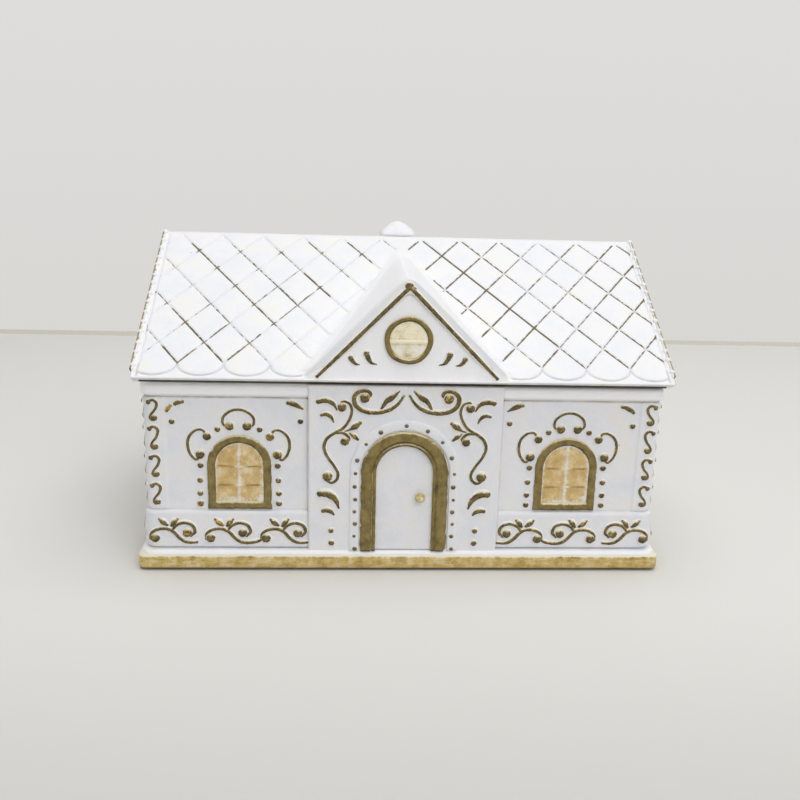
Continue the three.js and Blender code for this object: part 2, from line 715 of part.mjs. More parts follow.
// Beaded strip along both rakes of a gable end
function rakeTrim() {
  const off = 3.5;
  const top = RIDGE_Z - off * Math.hypot(1, SLOPE);
  const end = EAVE_Y - 8.6;
  const dw = 2.1 * Math.hypot(1, SLOPE);
  const strip = [[-end, top - SLOPE * end - dw], [0, top - dw], [end, top - SLOPE * end - dw],
    [end, top - SLOPE * end + dw], [0, top + dw], [-end, top - SLOPE * end + dw]];
  const parts = [plate(strip, 0.5, 0)];
  const count = 10;
  for (let i = 0; i <= count; i += 1) {
    const d = (i * (end - 3)) / count;
    const z = top - SLOPE * d;
    parts.push(dome(d, z, 1.7, 0.95, 6));
    if (i > 0) parts.push(dome(-d, z, 1.7, 0.95, 6));
  }
  return union(parts);
}

// Colours
function paint(name, color, roughness, metalness) {
  return new THREE.MeshStandardMaterial({ name, color, roughness, metalness });
}

const WHITE = paint('white_body', 0xf2f1ee, 0.6, 0);
const WHITE_LID = paint('white_lid', 0xf6f5f2, 0.6, 0);
const GOLD = paint('plinth_gold', 0xc2a461, 0.45, 0.5);
const BRONZE = paint('antique_gold', 0x7a6438, 0.5, 0.5);
const PANE = paint('pane_gold', 0xcfa968, 0.55, 0.2);
const KNOB = paint('knob_gold', 0xd9c48f, 0.4, 0.4);
const FELT = paint('felt', 0x8d8a84, 0.95, 0);

const root = new THREE.Group();
root.name = 'christmas_house_box';
const boxGroup = new THREE.Group();
const lidGroup = new THREE.Group();
root.add(boxGroup, lidGroup);

function add(group, name, manifold, material, x = 0, y = 0, z = 0) {
  const mesh = new THREE.Mesh(merged(manifold), material);
  mesh.name = name;
  mesh.position.set(x, y, z);
  group.add(mesh);
}

// A group whose X runs along a wall, Y up it and Z out of it, at a distance from the middle of the house
function wallGroup(parent, quarterTurns, distance) {
  const turn = new THREE.Group();
  turn.rotation.z = (quarterTurns * Math.PI) / 2;
  const wall = new THREE.Group();
  wall.rotation.x = Math.PI / 2;
  wall.position.y = -distance;
  turn.add(wall);
  parent.add(turn);
  return wall;
}

add(boxGroup, 'house_body', houseBody(), WHITE);
add(boxGroup, 'plinth', plinth(), GOLD);
const padX = PLINTH_W / 2 - 14;
const padY = PLINTH_D / 2 - 14;
add(boxGroup, 'felt_pad_front_left', feltPad(), FELT, -padX, -padY);
add(boxGroup, 'felt_pad_front_right', feltPad(), FELT, padX, -padY);
add(boxGroup, 'felt_pad_back_left', feltPad(), FELT, -padX, padY);
add(boxGroup, 'felt_pad_back_right', feltPad(), FELT, padX, padY);

const bayWall = wallGroup(boxGroup, 0, WALL_Y + BAY_OUT);
add(bayWall, 'door_leaf', doorLeaf(), WHITE, 0, 0, -POCKET_D);
add(bayWall, 'door_knob', doorKnob(), KNOB, KNOB_X, KNOB_Z, LEAF_T + SEAT_GAP - POCKET_D);
add(bayWall, 'door_surround', doorSurround(), BRONZE);
add(bayWall, 'door_hood', doorHood(), WHITE);
add(bayWall, 'bay_scroll_top_left', bayTopScroll(), BRONZE);
add(bayWall, 'bay_scroll_top_right', mirrored(bayTopScroll()), BRONZE);
add(bayWall, 'bay_scroll_side_left', baySideScroll(), BRONZE);
add(bayWall, 'bay_scroll_side_right', mirrored(baySideScroll()), BRONZE);
const bayLeaves = {
  bay_leaf_upper: bayLeafUpper,
  bay_leaf_lower: bayLeafLower,
  bay_comma_upper: bayCommaUpper,
  bay_comma_lower: bayCommaLower,
};
for (const [name, leaf] of Object.entries(bayLeaves)) {
  add(bayWall, `${name}_left`, leaf(), BRONZE);
  add(bayWall, `${name}_right`, mirrored(leaf()), BRONZE);
}

const frontWall = wallGroup(boxGroup, 0, WALL_Y);
const walls = {
  front: [frontWall, WIN_X],
  back: [wallGroup(boxGroup, 2, WALL_Y), WIN_X],
};
for (const [side, [wall, x]] of Object.entries(walls)) {
  add(wall, `window_frame_${side}_left`, windowFrame(), BRONZE, -x);
  add(wall, `window_pane_${side}_left`, windowPane(), PANE, -x);
  add(wall, `window_frame_${side}_right`, windowFrame(), BRONZE, x);
  add(wall, `window_pane_${side}_right`, windowPane(), PANE, x);
}
for (const [side, turns] of [['right', 1], ['left', 3]]) {
  const wall = wallGroup(boxGroup, turns, WALL_X);
  add(wall, `window_frame_side_${side}`, windowFrame(), BRONZE);
  add(wall, `window_pane_side_${side}`, windowPane(), PANE);
}
for (const [side, sign] of [['left', -1], ['right', 1]]) {
  const outer = sign < 0 ? mirrored(crestSide()) : crestSide();
  const inner = sign < 0 ? crestSide() : mirrored(crestSide());
  add(frontWall, `crest_top_${side}`, crestTop(), BRONZE, sign * WIN_X);
  add(frontWall, `crest_outer_${side}`, outer, BRONZE, sign * WIN_X);
  add(frontWall, `crest_inner_${side}`, inner, BRONZE, sign * WIN_X);
}
const dadoFace = wallGroup(boxGroup, 0, WALL_Y + BAND_OUT);
add(dadoFace, 'dado_vine_left', vine(), BRONZE);
add(dadoFace, 'dado_vine_right', mirrored(vine()), BRONZE);

add(lidGroup, 'roof_lid', roofLid(), WHITE_LID);
add(lidGroup, 'chimney', chimney(), WHITE_LID);
add(lidGroup, 'chimney_cap', chimneyCap(), WHITE_LID, 0, CHIMNEY_Y, CHIMNEY_TOP);
const gableFace = wallGroup(lidGroup, 0, GABLE_Y);
add(gableFace, 'gable_trim', gableTrim(), BRONZE);
add(gableFace, 'oculus_frame', oculusFrame(), BRONZE, 0, OCULUS_Z);
add(gableFace, 'oculus_pane', oculusPane(), PANE, 0, OCULUS_Z);
for (const [name, leaf] of [['inner', pedimentLeafInner], ['outer', pedimentLeafOuter]]) {
  add(gableFace, `pediment_leaf_${name}_left`, leaf(), BRONZE);
  add(gableFace, `pediment_leaf_${name}_right`, mirrored(leaf()), BRONZE);
}
add(wallGroup(lidGroup, 3, LID_HALF_W), 'rake_trim_left', rakeTrim(), BRONZE);
add(wallGroup(lidGroup, 1, LID_HALF_W), 'rake_trim_right', rakeTrim(), BRONZE);

export default root;
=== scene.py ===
import math

import bmesh
import bpy
import numpy as np
from mathutils import Matrix, Vector, noise


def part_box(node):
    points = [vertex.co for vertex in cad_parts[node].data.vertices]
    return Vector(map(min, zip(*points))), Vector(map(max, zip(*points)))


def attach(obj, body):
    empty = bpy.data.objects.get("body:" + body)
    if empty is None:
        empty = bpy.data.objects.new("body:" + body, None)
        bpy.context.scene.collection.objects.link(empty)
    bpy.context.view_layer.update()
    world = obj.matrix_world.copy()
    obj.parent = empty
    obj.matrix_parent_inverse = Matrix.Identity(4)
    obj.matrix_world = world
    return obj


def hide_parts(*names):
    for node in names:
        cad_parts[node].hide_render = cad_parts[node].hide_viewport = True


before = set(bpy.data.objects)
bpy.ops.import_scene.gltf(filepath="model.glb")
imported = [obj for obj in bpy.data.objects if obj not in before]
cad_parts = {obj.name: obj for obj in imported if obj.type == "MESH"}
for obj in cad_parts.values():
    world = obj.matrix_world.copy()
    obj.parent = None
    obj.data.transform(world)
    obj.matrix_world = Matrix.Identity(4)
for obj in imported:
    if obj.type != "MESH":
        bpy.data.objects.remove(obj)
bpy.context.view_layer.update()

print("frame loaded:", len(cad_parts), "CAD nodes")

mm = 0.001
house = {                      # shared sizes in mm, the same as the part's
    "padThickness": 1.0,
    "plinthWidth": 200.0,
    "plinthDepth": 135.0,
    "baseZ": 6.5,              # top of the plinth
    "rimZ": 72.8,              # top of the walls, where the lid rests
    "wallX": 95.85,
    "wallY": 63.6,
    "wallThickness": 4.5,
    "floorZ": 9.5,
    "cornerRadius": 3.0,
    "bandOut": 1.5,            # dado and cornice in front of the wall
    "bayOut": 2.5,
    "bayHalfWidth": 36.0,
    "footZ": 8.1,              # where the door and its arches stand on the skirt
    "ridgeZ": 122.2,
    "eaveY": 68.6,
    "eaveZ": 75.3,
    "lidHalfWidth": 99.0,
    "gableY": 67.6,
}
bayY = house["wallY"] + house["bayOut"]
dadoY = house["wallY"] + house["bandOut"]
roofPitch = (house["ridgeZ"] - house["eaveZ"]) / house["eaveY"]
slopeLength = math.hypot(1, roofPitch)      # along the slope for each mm across it


# small helpers

def smooth(low, high, value):
    t = np.clip((np.asarray(value, float) - low) / (high - low), 0, 1)
    return t * t * (3 - 2 * t)


def bell(value, width):
    return math.exp(-(value / width) ** 2)


def softMax(a, b, width):
    h = np.maximum(width - np.abs(a - b), 0) / width
    return np.maximum(a, b) + h * h * width / 4


def waver(x, y, size, seed=0.0):
    # a slow uneven value between about -1 and 1, the same on every run
    return noise.noise(Vector((x / size + seed, y / size - seed, seed * 1.7)))


def around(count):
    return np.linspace(0, 2 * math.pi, count, endpoint=False)


def srgb(code):
    # sRGB hex to the linear colour that the shaders take
    parts = [int(code[i:i + 2], 16) / 255 for i in (1, 3, 5)]
    return tuple(p / 12.92 if p <= 0.04045 else ((p + 0.055) / 1.055) ** 2.4 for p in parts) + (1.0,)


def perMm(size):
    # noise scale whose features are about this many mm, with coordinates in metres
    return 1000.0 / size


def addNode(tree, kind, settings, inputs):
    node = tree.nodes.new(kind)
    for label, value in settings.items():
        if label == "ramp":
            ends = node.color_ramp.elements
            while len(ends) < len(value):
                ends.new(0.5)
            for end, (place, code) in zip(ends, value):
                end.position = place
                end.color = srgb(code)
        else:
            setattr(node, label, value)
    for label, value in inputs.items():
        if isinstance(value, bpy.types.NodeSocket):
            tree.links.new(value, node.inputs[label])
        else:
            isColour = isinstance(value, str) and value.startswith("#")
            node.inputs[label].default_value = srgb(value) if isColour else value
    return node


kinds = {                      # word in a step: node type, settings, inputs that its values go to, outputs
    "noise": ("ShaderNodeTexNoise", {}, ("Vector", "Scale", "Detail", "Roughness"), ("Fac",)),
    "cells": ("ShaderNodeTexVoronoi", {}, ("Vector", "Scale"), ("Distance", "Color")),
    "ramp": ("ShaderNodeValToRGB", {}, (0,), (0,)),
    "range": ("ShaderNodeMapRange", {}, range(5), (0,)),
    "ease": ("ShaderNodeMapRange", {"interpolation_type": "SMOOTHSTEP"}, range(5), (0,)),
    "blend": ("ShaderNodeMix", {"data_type": "RGBA"}, (0, 6, 7), (2,)),
    "mix": ("ShaderNodeMix", {"data_type": "FLOAT"}, (0, 2, 3), (0,)),
    "parts": ("ShaderNodeSeparateXYZ", {}, (0,), (0, 1, 2)),
    "vector": ("ShaderNodeCombineXYZ", {}, (0, 1, 2), (0,)),
    "scaled": ("ShaderNodeVectorMath", {"operation": "SCALE"}, (0, "Scale"), (0,)),
    "bump": ("ShaderNodeBump", {}, ("Strength", "Distance", "Height"), (0,)),
    "named": ("GeometryNodeInputNamedAttribute", {"data_type": "FLOAT"}, ("Name",), (0,)),
    "store": ("GeometryNodeStoreNamedAttribute", {"data_type": "FLOAT", "domain": "POINT"},
              ("Geometry", "Name", "Value"), (0,)),
    "realize": ("GeometryNodeRealizeInstances", {}, (0,), (0,)),
    "finish": ("GeometryNodeSetMaterial", {}, (0, "Material"), (0,)),
}


def addSteps(tree, known, steps):
    # a step gives the names of its results, a word of kinds, a Math operation or a node type, and values.
    # A value that names an earlier result is linked, and a dictionary gives settings and inputs by name.
    for results, word, *values in steps:
        kind, settings, inputs, outputs = kinds.get(word) or (
            ("ShaderNodeMath", {"operation": word}, range(3), (0,)) if word.isupper()
            else (word, {}, range(9), range(9)))
        more = values.pop() if values and isinstance(values[-1], dict) else {}
        given = {**dict(zip(inputs, values)), **{key: more[key] for key in more if not key.islower()}}
        node = addNode(tree, kind, {**settings, **{key: more[key] for key in more if key.islower()}},
                       {key: known.get(value, value) if isinstance(value, str) else value for key,
                        value in given.items()})
        known.update({label: node.outputs[out] for label, out in zip(results.split(), outputs)})


# materials

def makeMaterial(name, marks, steps, surface=None):
    # marks are the mesh attributes that the steps read, and surface the inputs of a Principled shader
    material = bpy.data.materials.new(name)
    material.use_nodes = True
    tree = material.node_tree
    tree.nodes.clear()
    known = {"place": addNode(tree, "ShaderNodeTexCoord", {}, {}).outputs["Object"]}
    for label in marks:
        known[label] = addNode(tree, "ShaderNodeAttribute", {"attribute_name": label}, {}).outputs["Fac"]
    if surface:
        steps = steps + [("shader", "ShaderNodeBsdfPrincipled", surface)]
    addSteps(tree, known, steps + [("", "ShaderNodeOutputMaterial", {"Surface": "shader"})])
    return material


whiteCast = {                  # cast resin under matt white paint
    "base": "#ededf1",
    "shade": "#e7e9ee",        # thin patches of the coat
    "warm": "#efede8",
    "thick": "#fdfdff",        # painted light: a brighter coat on the cornice, skirt, pediment and the gable's left slope
    "speck": "#9a8f80",
    "dirt": "#b9b3a8",         # painted shade in the corners and creases
    "deep": "#3d3a30",         # painted shade in the gap under the lid
    "mottleSize": 11.0,
    "shadingMottleSize": 5.0,
    "grainSize": 0.7,
    "lumpSize": 3.2,
    "speckSpacing": 7.5,
    "speckRadius": 0.3,
    "roughness": 0.62,
    "grainHeight": 0.18,
}
whiteLid = dict(whiteCast, base="#f3f3f5", shade="#eff0f4", warm="#f4f3ee", speckSpacing=12.0, roughness=0.58)
gilding = {                    # gold paint in the roof's grooves
    "width": 0.43,             # half width of a full line
    "edge": 0.13,
    "colour": "#98895e",
    "dark": "#6c6040",
    "grooveShade": "#cccbd3",         # painted shade in the grooves that the gold missed, stronger at the tile ends
    "endsAt": 75.5,            # where the rounded tile ends begin, mm down the slope
    "patchSize": 2.1,
}


def mattePaint(name, look, grooves=None):
    # Painted cast resin: chalky white with faint patches and a few specks; painted shade in its corners and
    # gaps, and a brighter coat as painted light on some shaded faces
    speck = look["speckRadius"] / look["speckSpacing"]
    marks = ["crease"]
    steps = [("patches", "noise", "place", perMm(look["mottleSize"]), 4.0, 0.6),
             ("tone", "ramp", "patches", {"ramp": ((0.36, look["shade"]), (0.52, look["base"]),
                                                   (0.7, look["warm"]))}),
             ("near tint", "cells", "place", perMm(look["speckSpacing"])),
             ("dot", "ease", "near", speck * 1.5, speck * 0.6, 0.0, 0.75),
             ("chosen", "ShaderNodeSeparateColor", "tint"), ("chosen", "GREATER_THAN", "chosen", 0.8),
             ("dots", "MULTIPLY", "dot", "chosen"), ("colour", "blend", "dots", "tone", look["speck"]),
             # painted shade: grey in the creases and corners, uneven in strength
             ("uneven", "noise", "place", perMm(look["shadingMottleSize"]), 3.0),
             ("worn", "range", "uneven", 0.3, 0.7, 0.35, 1.0),
             ("dirt", "MULTIPLY", "crease", "worn", {"use_clamp": True}),
             ("colour", "blend", "dirt", "colour", look["dirt"]),
             # painted light: negative marks blend in the brighter coat
             ("thick", "MULTIPLY", "crease", -1.0, {"use_clamp": True}),
             ("colour", "blend", "thick", "colour", look["thick"]),
             # painted shade: strong marks darken to near black in the gap under the lid
             ("gapShade", "ease", "crease", 1.25, 1.75, 0.0, 0.95),
             ("colour", "blend", "gapShade", "colour", look["deep"]),]
    if grooves:
        marks += ["seam", "gilt", "down"]
        steps += [
            ("flow", "noise", "place", perMm(grooves["patchSize"]), 6.0, 0.78),
            ("swell", "range", "flow", 0.3, 0.7, -0.8, 0.5),
            ("load", "ADD", "gilt", "swell"),
            ("reach", "range", "load", 0.12, 1.0, 0.0, grooves["width"]),
            ("gap", "SUBTRACT", "reach", "seam"),
            ("line", "ease", "gap", -grooves["edge"], grooves["edge"], 0.0, 1.0),
            ("wet", "ease", "gilt", 0.04, 0.2, 0.0, 1.0),
            ("line", "MULTIPLY", "line", "wet"),
            # painted shade in the bare grooves, stronger where the tile ends are rounded
            ("amount", "range", "down", grooves["endsAt"] * mm, (grooves["endsAt"] + 0.6) * mm, 0.2, 0.8),
            ("faint", "ease", "seam", 0.05, 0.5, "amount", 0.0),
            ("colour", "blend", "faint", "colour", grooves["grooveShade"]),
            ("giltTone", "blend", "flow", grooves["colour"], grooves["dark"]),
            ("colour", "blend", "line", "colour", "giltTone"),
            ("metal", "MULTIPLY", "line", 0.25),
        ]
    steps += [
        ("grain", "noise", "place", perMm(look["grainSize"]), 3.0, 0.6),
        ("lumps", "noise", "place", perMm(look["lumpSize"]), 2.0),
        ("relief", "MULTIPLY_ADD", "lumps", 1.6, "grain"),
        ("bump", "bump", 0.5, look["grainHeight"] * mm, "relief"),
    ]
    return makeMaterial(name, marks, steps, {
        "Base Color": "colour", "Roughness": look["roughness"], "Metallic": "metal" if grooves else 0.0,
        "Normal": "bump", "IOR": 1.49})


antiqueGold = {                # bronze-gold paint brushed over the raised lines
    "white": "#f2f2f2",
    "cream": "#e2d6ae",
    "bronze": "#8c7948",
    "dark": "#665633",
    "light": "#a4925f",
    "fleck": "#cb9f4c",
    "fleckFrom": 0.655,
    # painted shade on faces that look down
    "pooled": "#3a321d",
    "cover": 0.34,             # how far down the relief the paint reaches, 0 to 1
    "ragged": 0.42,
    "edgeSize": 1.1,
    "patchSize": 2.2,
    "fleckSize": 1.7,
    "strokeAcross": 0.35,
    "strokeAlong": 4.0,
    "metallic": 0.3,
    "roughness": 0.45,
}


def brushedGold(name, look):
    # Hand-brushed antique gold: darker in patches, cream where it thinned at the edge, white below; painted
    # shade on faces that look down and along the flanks, painted highlights on faces that look up
    cover, ragged, fleckFrom = look["cover"], look["ragged"] / 2, look["fleckFrom"]
    stretch = (perMm(look["strokeAcross"]), perMm(look["strokeAcross"]), perMm(look["strokeAlong"]))
    return makeMaterial(name, ("paint", "fleck", "up"), [
        ("edgeNoise", "noise", "place", perMm(look["edgeSize"]), 3.0, 0.65),
        ("shift", "range", "edgeNoise", 0.25, 0.75, -ragged, ragged),
        ("level", "ADD", "paint", "shift"),
        ("cover", "range", "level", cover - 0.12, cover + 0.16, 0.0, 1.0),
        ("patches", "noise", "place", perMm(look["patchSize"]), 4.0, 0.6),
        ("stretched", "ShaderNodeMapping", "place", {"Scale": stretch}),
        ("streaks", "noise", "stretched", 1.0, 2.0),
        ("mixed", "mix", 0.18, "patches", "streaks"),
        # painted shade along the flanks, just inside the edge of the gold
        ("brink", "range", "level", cover + 0.04, cover + 0.26, -0.13, 0.02),
        ("mixed", "ADD", "mixed", "brink"),
        ("bronze", "ramp", "mixed", {
            "ramp": ((0.34, look["dark"]), (0.5, look["bronze"]), (0.68, look["light"]))}),
        ("spots", "noise", "place", perMm(look["fleckSize"]), 2.0),
        ("lifted", "ADD", "spots", "fleck"),
        ("flecks", "range", "lifted", fleckFrom, fleckFrom + 0.065, 0.0, 0.85),
        ("golden", "blend", "flecks", "bronze", look["fleck"]),
        # painted light: cream highlights on faces that look up, painted shade on faces that look down
        ("tilt", "MULTIPLY_ADD", "edgeNoise", 0.9, -0.45),
        ("tilt", "ADD", "tilt", "up"),
        ("pooled", "ease", "tilt", -0.1, -0.55, 0.0, 0.85),
        ("golden", "blend", "pooled", "golden", look["pooled"]),
        ("rubbed", "ease", "tilt", 0.28, 0.7, 0.0, 0.85),
        ("golden", "blend", "rubbed", "golden", look["cream"]),
        ("fringe", "ramp", "cover", {"ramp": ((0.0, look["white"]), (0.45, look["cream"]))}),
        ("full", "range", "cover", 0.35, 0.7, 0.0, 1.0),
        ("colour", "blend", "full", "fringe", "golden"),
        ("metal", "MULTIPLY", "full", look["metallic"]),
        ("gloss", "range", "full", 0.0, 1.0, 0.62, look["roughness"]),
        ("bump", "bump", 0.45, 0.12 * mm, "mixed"),
    ], {"Base Color": "colour", "Metallic": "metal", "Roughness": "gloss", "Normal": "bump"})


plinthPaint = {                # gold paint wiped along the slab, rubbed to cream on its upper edge
    "gold": "#d4b975",
    "deep": "#a98a4c",
    "pale": "#e6d8b2",
    "cream": "#f3ecd4",
    "streakLength": 6.0,
    "streakWidth": 0.9,
    "patchSize": 3.6,
    "foot": "#7a6236",         # painted shade along its lower edge, where it meets the floor
    "footZ": 1.0,
    "footReach": 0.9,
    "topZ": 6.5,
    "wornDepth": 1.7,
    "metallic": 0.35,
    "roughness": 0.42,
}


def wipedGold(name, look):
    # Gold leaf paint on resin: soft streaks along the edge, a creamy worn upper rim
    stretch = (perMm(look["streakLength"]), perMm(look["streakLength"]), perMm(look["streakWidth"]))
    topZ, footZ = look["topZ"], look["footZ"]
    return makeMaterial(name, (), [("along", "ShaderNodeMapping", "place", {"Scale": stretch}),
                                   ("streaks", "noise", "along", 1.0, 4.0, 0.65),
                                   ("patches", "noise", "place", perMm(look["patchSize"]), 5.0, 0.7),
                                   ("mixed", "mix", 0.68, "streaks", "patches"),
                                   ("tone", "ramp", "mixed",
                                    {"ramp": ((0.36, look["deep"]), (0.5, look["gold"]),
                                              (0.64, look["pale"]))}), ("x y height", "parts", "place"),
                                   ("fromTop", "range", "height", (topZ - look["wornDepth"]) * mm, topZ * mm,
                                    0.0, 1.0), ("ragged", "MULTIPLY_ADD", "patches", 1.3, -0.75),
                                   ("wear", "ADD", "fromTop", "ragged"),
                                   ("worn", "ease", "wear", 0.25, 0.6, 0.0, 0.9),
                                   ("colour", "blend", "worn", "tone", look["cream"]),
                                   # painted shade along the slab's foot
                                   ("low", "ease", "height", (footZ + look["footReach"]) * mm, footZ * mm,
                                    0.0, 0.7), ("colour", "blend", "low", "colour", look["foot"]),
                                   ("metal", "range", "worn", 0.0, 1.0, look["metallic"], 0.05),
                                   ("bump", "bump", 0.5, 0.15 * mm, "mixed"),],
                        {"Base Color": "colour", "Metallic": "metal", "Roughness": look["roughness"],
                         "Normal": "bump"})


panePaint = {                  # ochre wash in the window fields, white bars rubbed over it
    "ochre": "#d8ba7d",
    "deep": "#c4a266",
    "pale": "#ecdcb8",
    "white": "#f0eee8",
    "line": "#96763f",
    "patchSize": 4.2,
    "brushSize": 1.1,
    "roughness": 0.55,
    "metallic": 0.12,
}


def washedPane(name, look):
    # Window fields cast with the wall: a thin ochre wash, with white left on the bars and round the edge
    return makeMaterial(name, ("bar", "rim", "groove"),
                        [("patches", "noise", "place", perMm(look["patchSize"]), 4.0, 0.65),
                         ("brush", "noise", "place", perMm(look["brushSize"]), 3.0, 0.7),
                         ("tone", "ramp", "patches",
                          {"ramp": ((0.32, look["deep"]), (0.5, look["ochre"]), (0.7, look["pale"]))}),
                         ("raised", "MAXIMUM", "bar", "rim"), ("rubbed", "ADD", "raised", "brush"),
                         ("white", "ease", "rubbed", 0.78, 1.28, 0.0, 0.9),
                         ("scratched", "MULTIPLY_ADD", "brush", 1.1, -0.5),
                         ("lines", "ADD", "groove", "scratched", {"use_clamp": True}),
                         ("lines", "MULTIPLY", "lines", "groove"),
                         ("colour", "blend", "lines", "tone", look["line"]),
                         ("colour", "blend", "white", "colour", look["white"]),
                         ("bump", "bump", 0.5, 0.12 * mm, "brush"),],
                        {"Base Color": "colour", "Metallic": look["metallic"], "Roughness": look["roughness"],
                         "Normal": "bump"})


bodyWhite = mattePaint("matte_painted_resin_body", whiteCast)
lidWhite = mattePaint("matte_painted_resin_roof", whiteLid, gilding)
trimWhite = mattePaint("matte_painted_resin_trim", whiteLid)
reliefGold = brushedGold("antique_gold_brushed_on_relief", dict(
    antiqueGold, bronze="#6d5e38", dark="#483e24", light="#907e4f", cream="#f0e3bb", cover=0.64, ragged=0.3))
frameGold = brushedGold("antique_gold_brushed_on_frames", dict(
    antiqueGold, bronze="#85733f", dark="#635333", light="#9a8853", patchSize=3.4, strokeAlong=3.0,
    fleckFrom=0.75, cover=0.3, ragged=0.36))
# dark gold for the door studs, and as painted shade on the rake cords
darkGold = brushedGold("antique_gold_dark_and_painted_shade", dict(
    antiqueGold, bronze="#6b6044", dark="#4c442f", light="#8a7c56", cream="#b5a67c", cover=0.2))
slabGold = wipedGold("gold_wiped_on_plinth", plinthPaint)
paneWash = washedPane("ochre_wash_on_panes", panePaint)
oculusWash = washedPane("cream_wash_on_oculus", dict(
    panePaint, ochre="#f3ead3", deep="#cdb78a", pale="#fffdf6", white="#fff6d2"))
# A rubbed knob: pale gold paint in soft patches
knobGold = makeMaterial("pale_gold_rubbed_knob", (), [
    ("patches", "noise", "place", perMm(1.2), 3.0),
    ("tone", "ramp", "patches", {"ramp": ((0.35, "#b9a468"), (0.55, "#dccb99"), (0.7, "#f2ead0"))}),
], {"Base Color": "tone", "Metallic": 0.3, "Roughness": 0.38})
# Pressed wool felt: short grey fibres, no shine
feltGrey = makeMaterial("felt_pressed_wool", (), [
    ("fibres", "noise", "place", perMm(0.25), 6.0, 0.8),
    ("tone", "ramp", "fibres", {"ramp": ((0.3, "#6f6b65"), (0.6, "#94908a"), (0.8, "#aaa69f"))}),
    ("bump", "bump", 0.8, 0.2 * mm, "fibres"),
], {"Base Color": "tone", "Roughness": 0.95, "Sheen Weight": 0.3, "Normal": "bump"})
print("materials made")


# meshes

def addObject(name, data):
    piece = bpy.data.objects.new(name, data)
    bpy.context.scene.collection.objects.link(piece)
    return piece


def storeMark(mesh, label, values):
    mesh.attributes.new(label, "FLOAT", "POINT").data.foreach_set("value", np.asarray(values, np.float32))


def makePiece(name, points, faces, material, marks=None, crisp=None):
    mesh = bpy.data.meshes.new(name)
    mesh.from_pydata((np.asarray(points, float) * mm).tolist(), [], faces)
    for label, values in (marks or {}).items():
        storeMark(mesh, label, values)
    mesh.materials.append(material)
    work = bmesh.new()
    work.from_mesh(mesh)
    bmesh.ops.remove_doubles(work, verts=work.verts, dist=1e-6)
    bmesh.ops.recalc_face_normals(work, faces=work.faces)
    work.to_mesh(mesh)
    work.free()
    facing = np.empty(3 * len(mesh.vertices), np.float32)
    mesh.vertex_normals.foreach_get("vector", facing)
    storeMark(mesh, "up", facing[2::3].copy())
    mesh.shade_smooth()
    if crisp:
        mesh.set_sharp_from_angle(angle=math.radians(crisp))
    return addObject(name, mesh)


def bakeShape(piece, modifier):
    # takes the shape that a modifier makes as the piece's own mesh
    graph = bpy.context.evaluated_depsgraph_get()
    mesh = bpy.data.meshes.new_from_object(piece.evaluated_get(graph), depsgraph=graph)
    piece.modifiers.remove(modifier)
    old = piece.data
    piece.data = mesh
    bpy.data.meshes.remove(old)
    mesh.name = piece.name
    return piece


def cut(piece, tool, operation="DIFFERENCE"):
    modifier = piece.modifiers.new("cut", "BOOLEAN")
    modifier.operation = operation
    modifier.object = tool
    modifier.solver = "MANIFOLD"
    bakeShape(piece, modifier)
    bpy.data.objects.remove(tool)
    return piece


def settle(piece, nodes, body):
    if nodes:
        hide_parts(*nodes)
    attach(piece, body)
    return piece


def loft(rows, capped=True):
    # faces between equal closed rows of points, with flat caps
    rows = np.asarray(rows, float)
    count, width = rows.shape[:2]
    faces = []
    for i in range(count - 1):
        for j in range(width):
            k = (j + 1) % width
            faces.append((i * width + j, i * width + k, (i + 1) * width + k, (i + 1) * width + j))
    if capped:
        faces.append(tuple(range(width - 1, -1, -1)))
        faces.append(tuple((count - 1) * width + j for j in range(width)))
    return rows.reshape(-1, 3), faces


def closeBehind(points, faces, loop, depth, marks):
    # gives an open field its sides and back, from the loop of points round its edge
    size = len(points)
    points = np.vstack([points, [(points[k][0], points[k][1], depth) for k in loop]])
    for n, k in enumerate(loop):
        after = (n + 1) % len(loop)
        faces.append((k, size + n, size + after, loop[after]))
    faces.append(tuple(range(size, size + len(loop))))
    return points, faces, {label: values + [0.0] * len(loop) for label, values in marks.items()}


def onWall(points, distance, turn=0):
    # points drawn flat, a to the right, b up and c out of the wall, put on that wall of the house
    a, b, c = np.asarray(points, float).T
    x, y = a, -(distance + c)
    angle = math.radians(90 * turn)
    return np.stack([x * math.cos(angle) - y * math.sin(angle), x * math.sin(angle) + y * math.cos(angle), b],
                    1)


def archLine(half, foot, top, steps, legs):
    # an upright arch from its right foot over the top to its left foot
    spring = top - half
    right = [(half, foot + (spring - foot) * i / legs) for i in range(legs)]
    bow = [(half * math.cos(math.pi * i / steps), spring + half * math.sin(math.pi * i / steps))
           for i in range(steps + 1)]
    left = [(-half, spring - (spring - foot) * i / legs) for i in range(1, legs + 1)]
    return right + bow + left


# geometry node trees

plainMesh = [("solid", "realize", "laid"), ("solid", "finish", "solid", "Finish"),
             ("", "NodeGroupOutput", "solid")]


def startTree(name, inputs):
    tree = bpy.data.node_groups.new(name, "GeometryNodeTree")
    for label, kind, value in [("Geometry", "Geometry", None)] + inputs + [("Finish", "Material", None)]:
        socket = tree.interface.new_socket(label, in_out="INPUT", socket_type="NodeSocket" + kind)
        if value is not None:
            socket.default_value = value
    tree.interface.new_socket("Geometry", in_out="OUTPUT", socket_type="NodeSocketGeometry")
    return tree, {socket.name: socket for socket in tree.nodes.new("NodeGroupInput").outputs if socket.name}


def grow(piece, tree, values):
    # runs a geometry node tree on a piece and keeps the plain mesh that it makes
    modifier = piece.modifiers.new(tree.name, "NODES")
    modifier.node_group = tree
    sockets = {item.name: item.identifier for item in tree.interface.items_tree if item.in_out == "INPUT"}
    for label, value in values.items():
        modifier[sockets[label]] = value
    return bakeShape(piece, modifier)


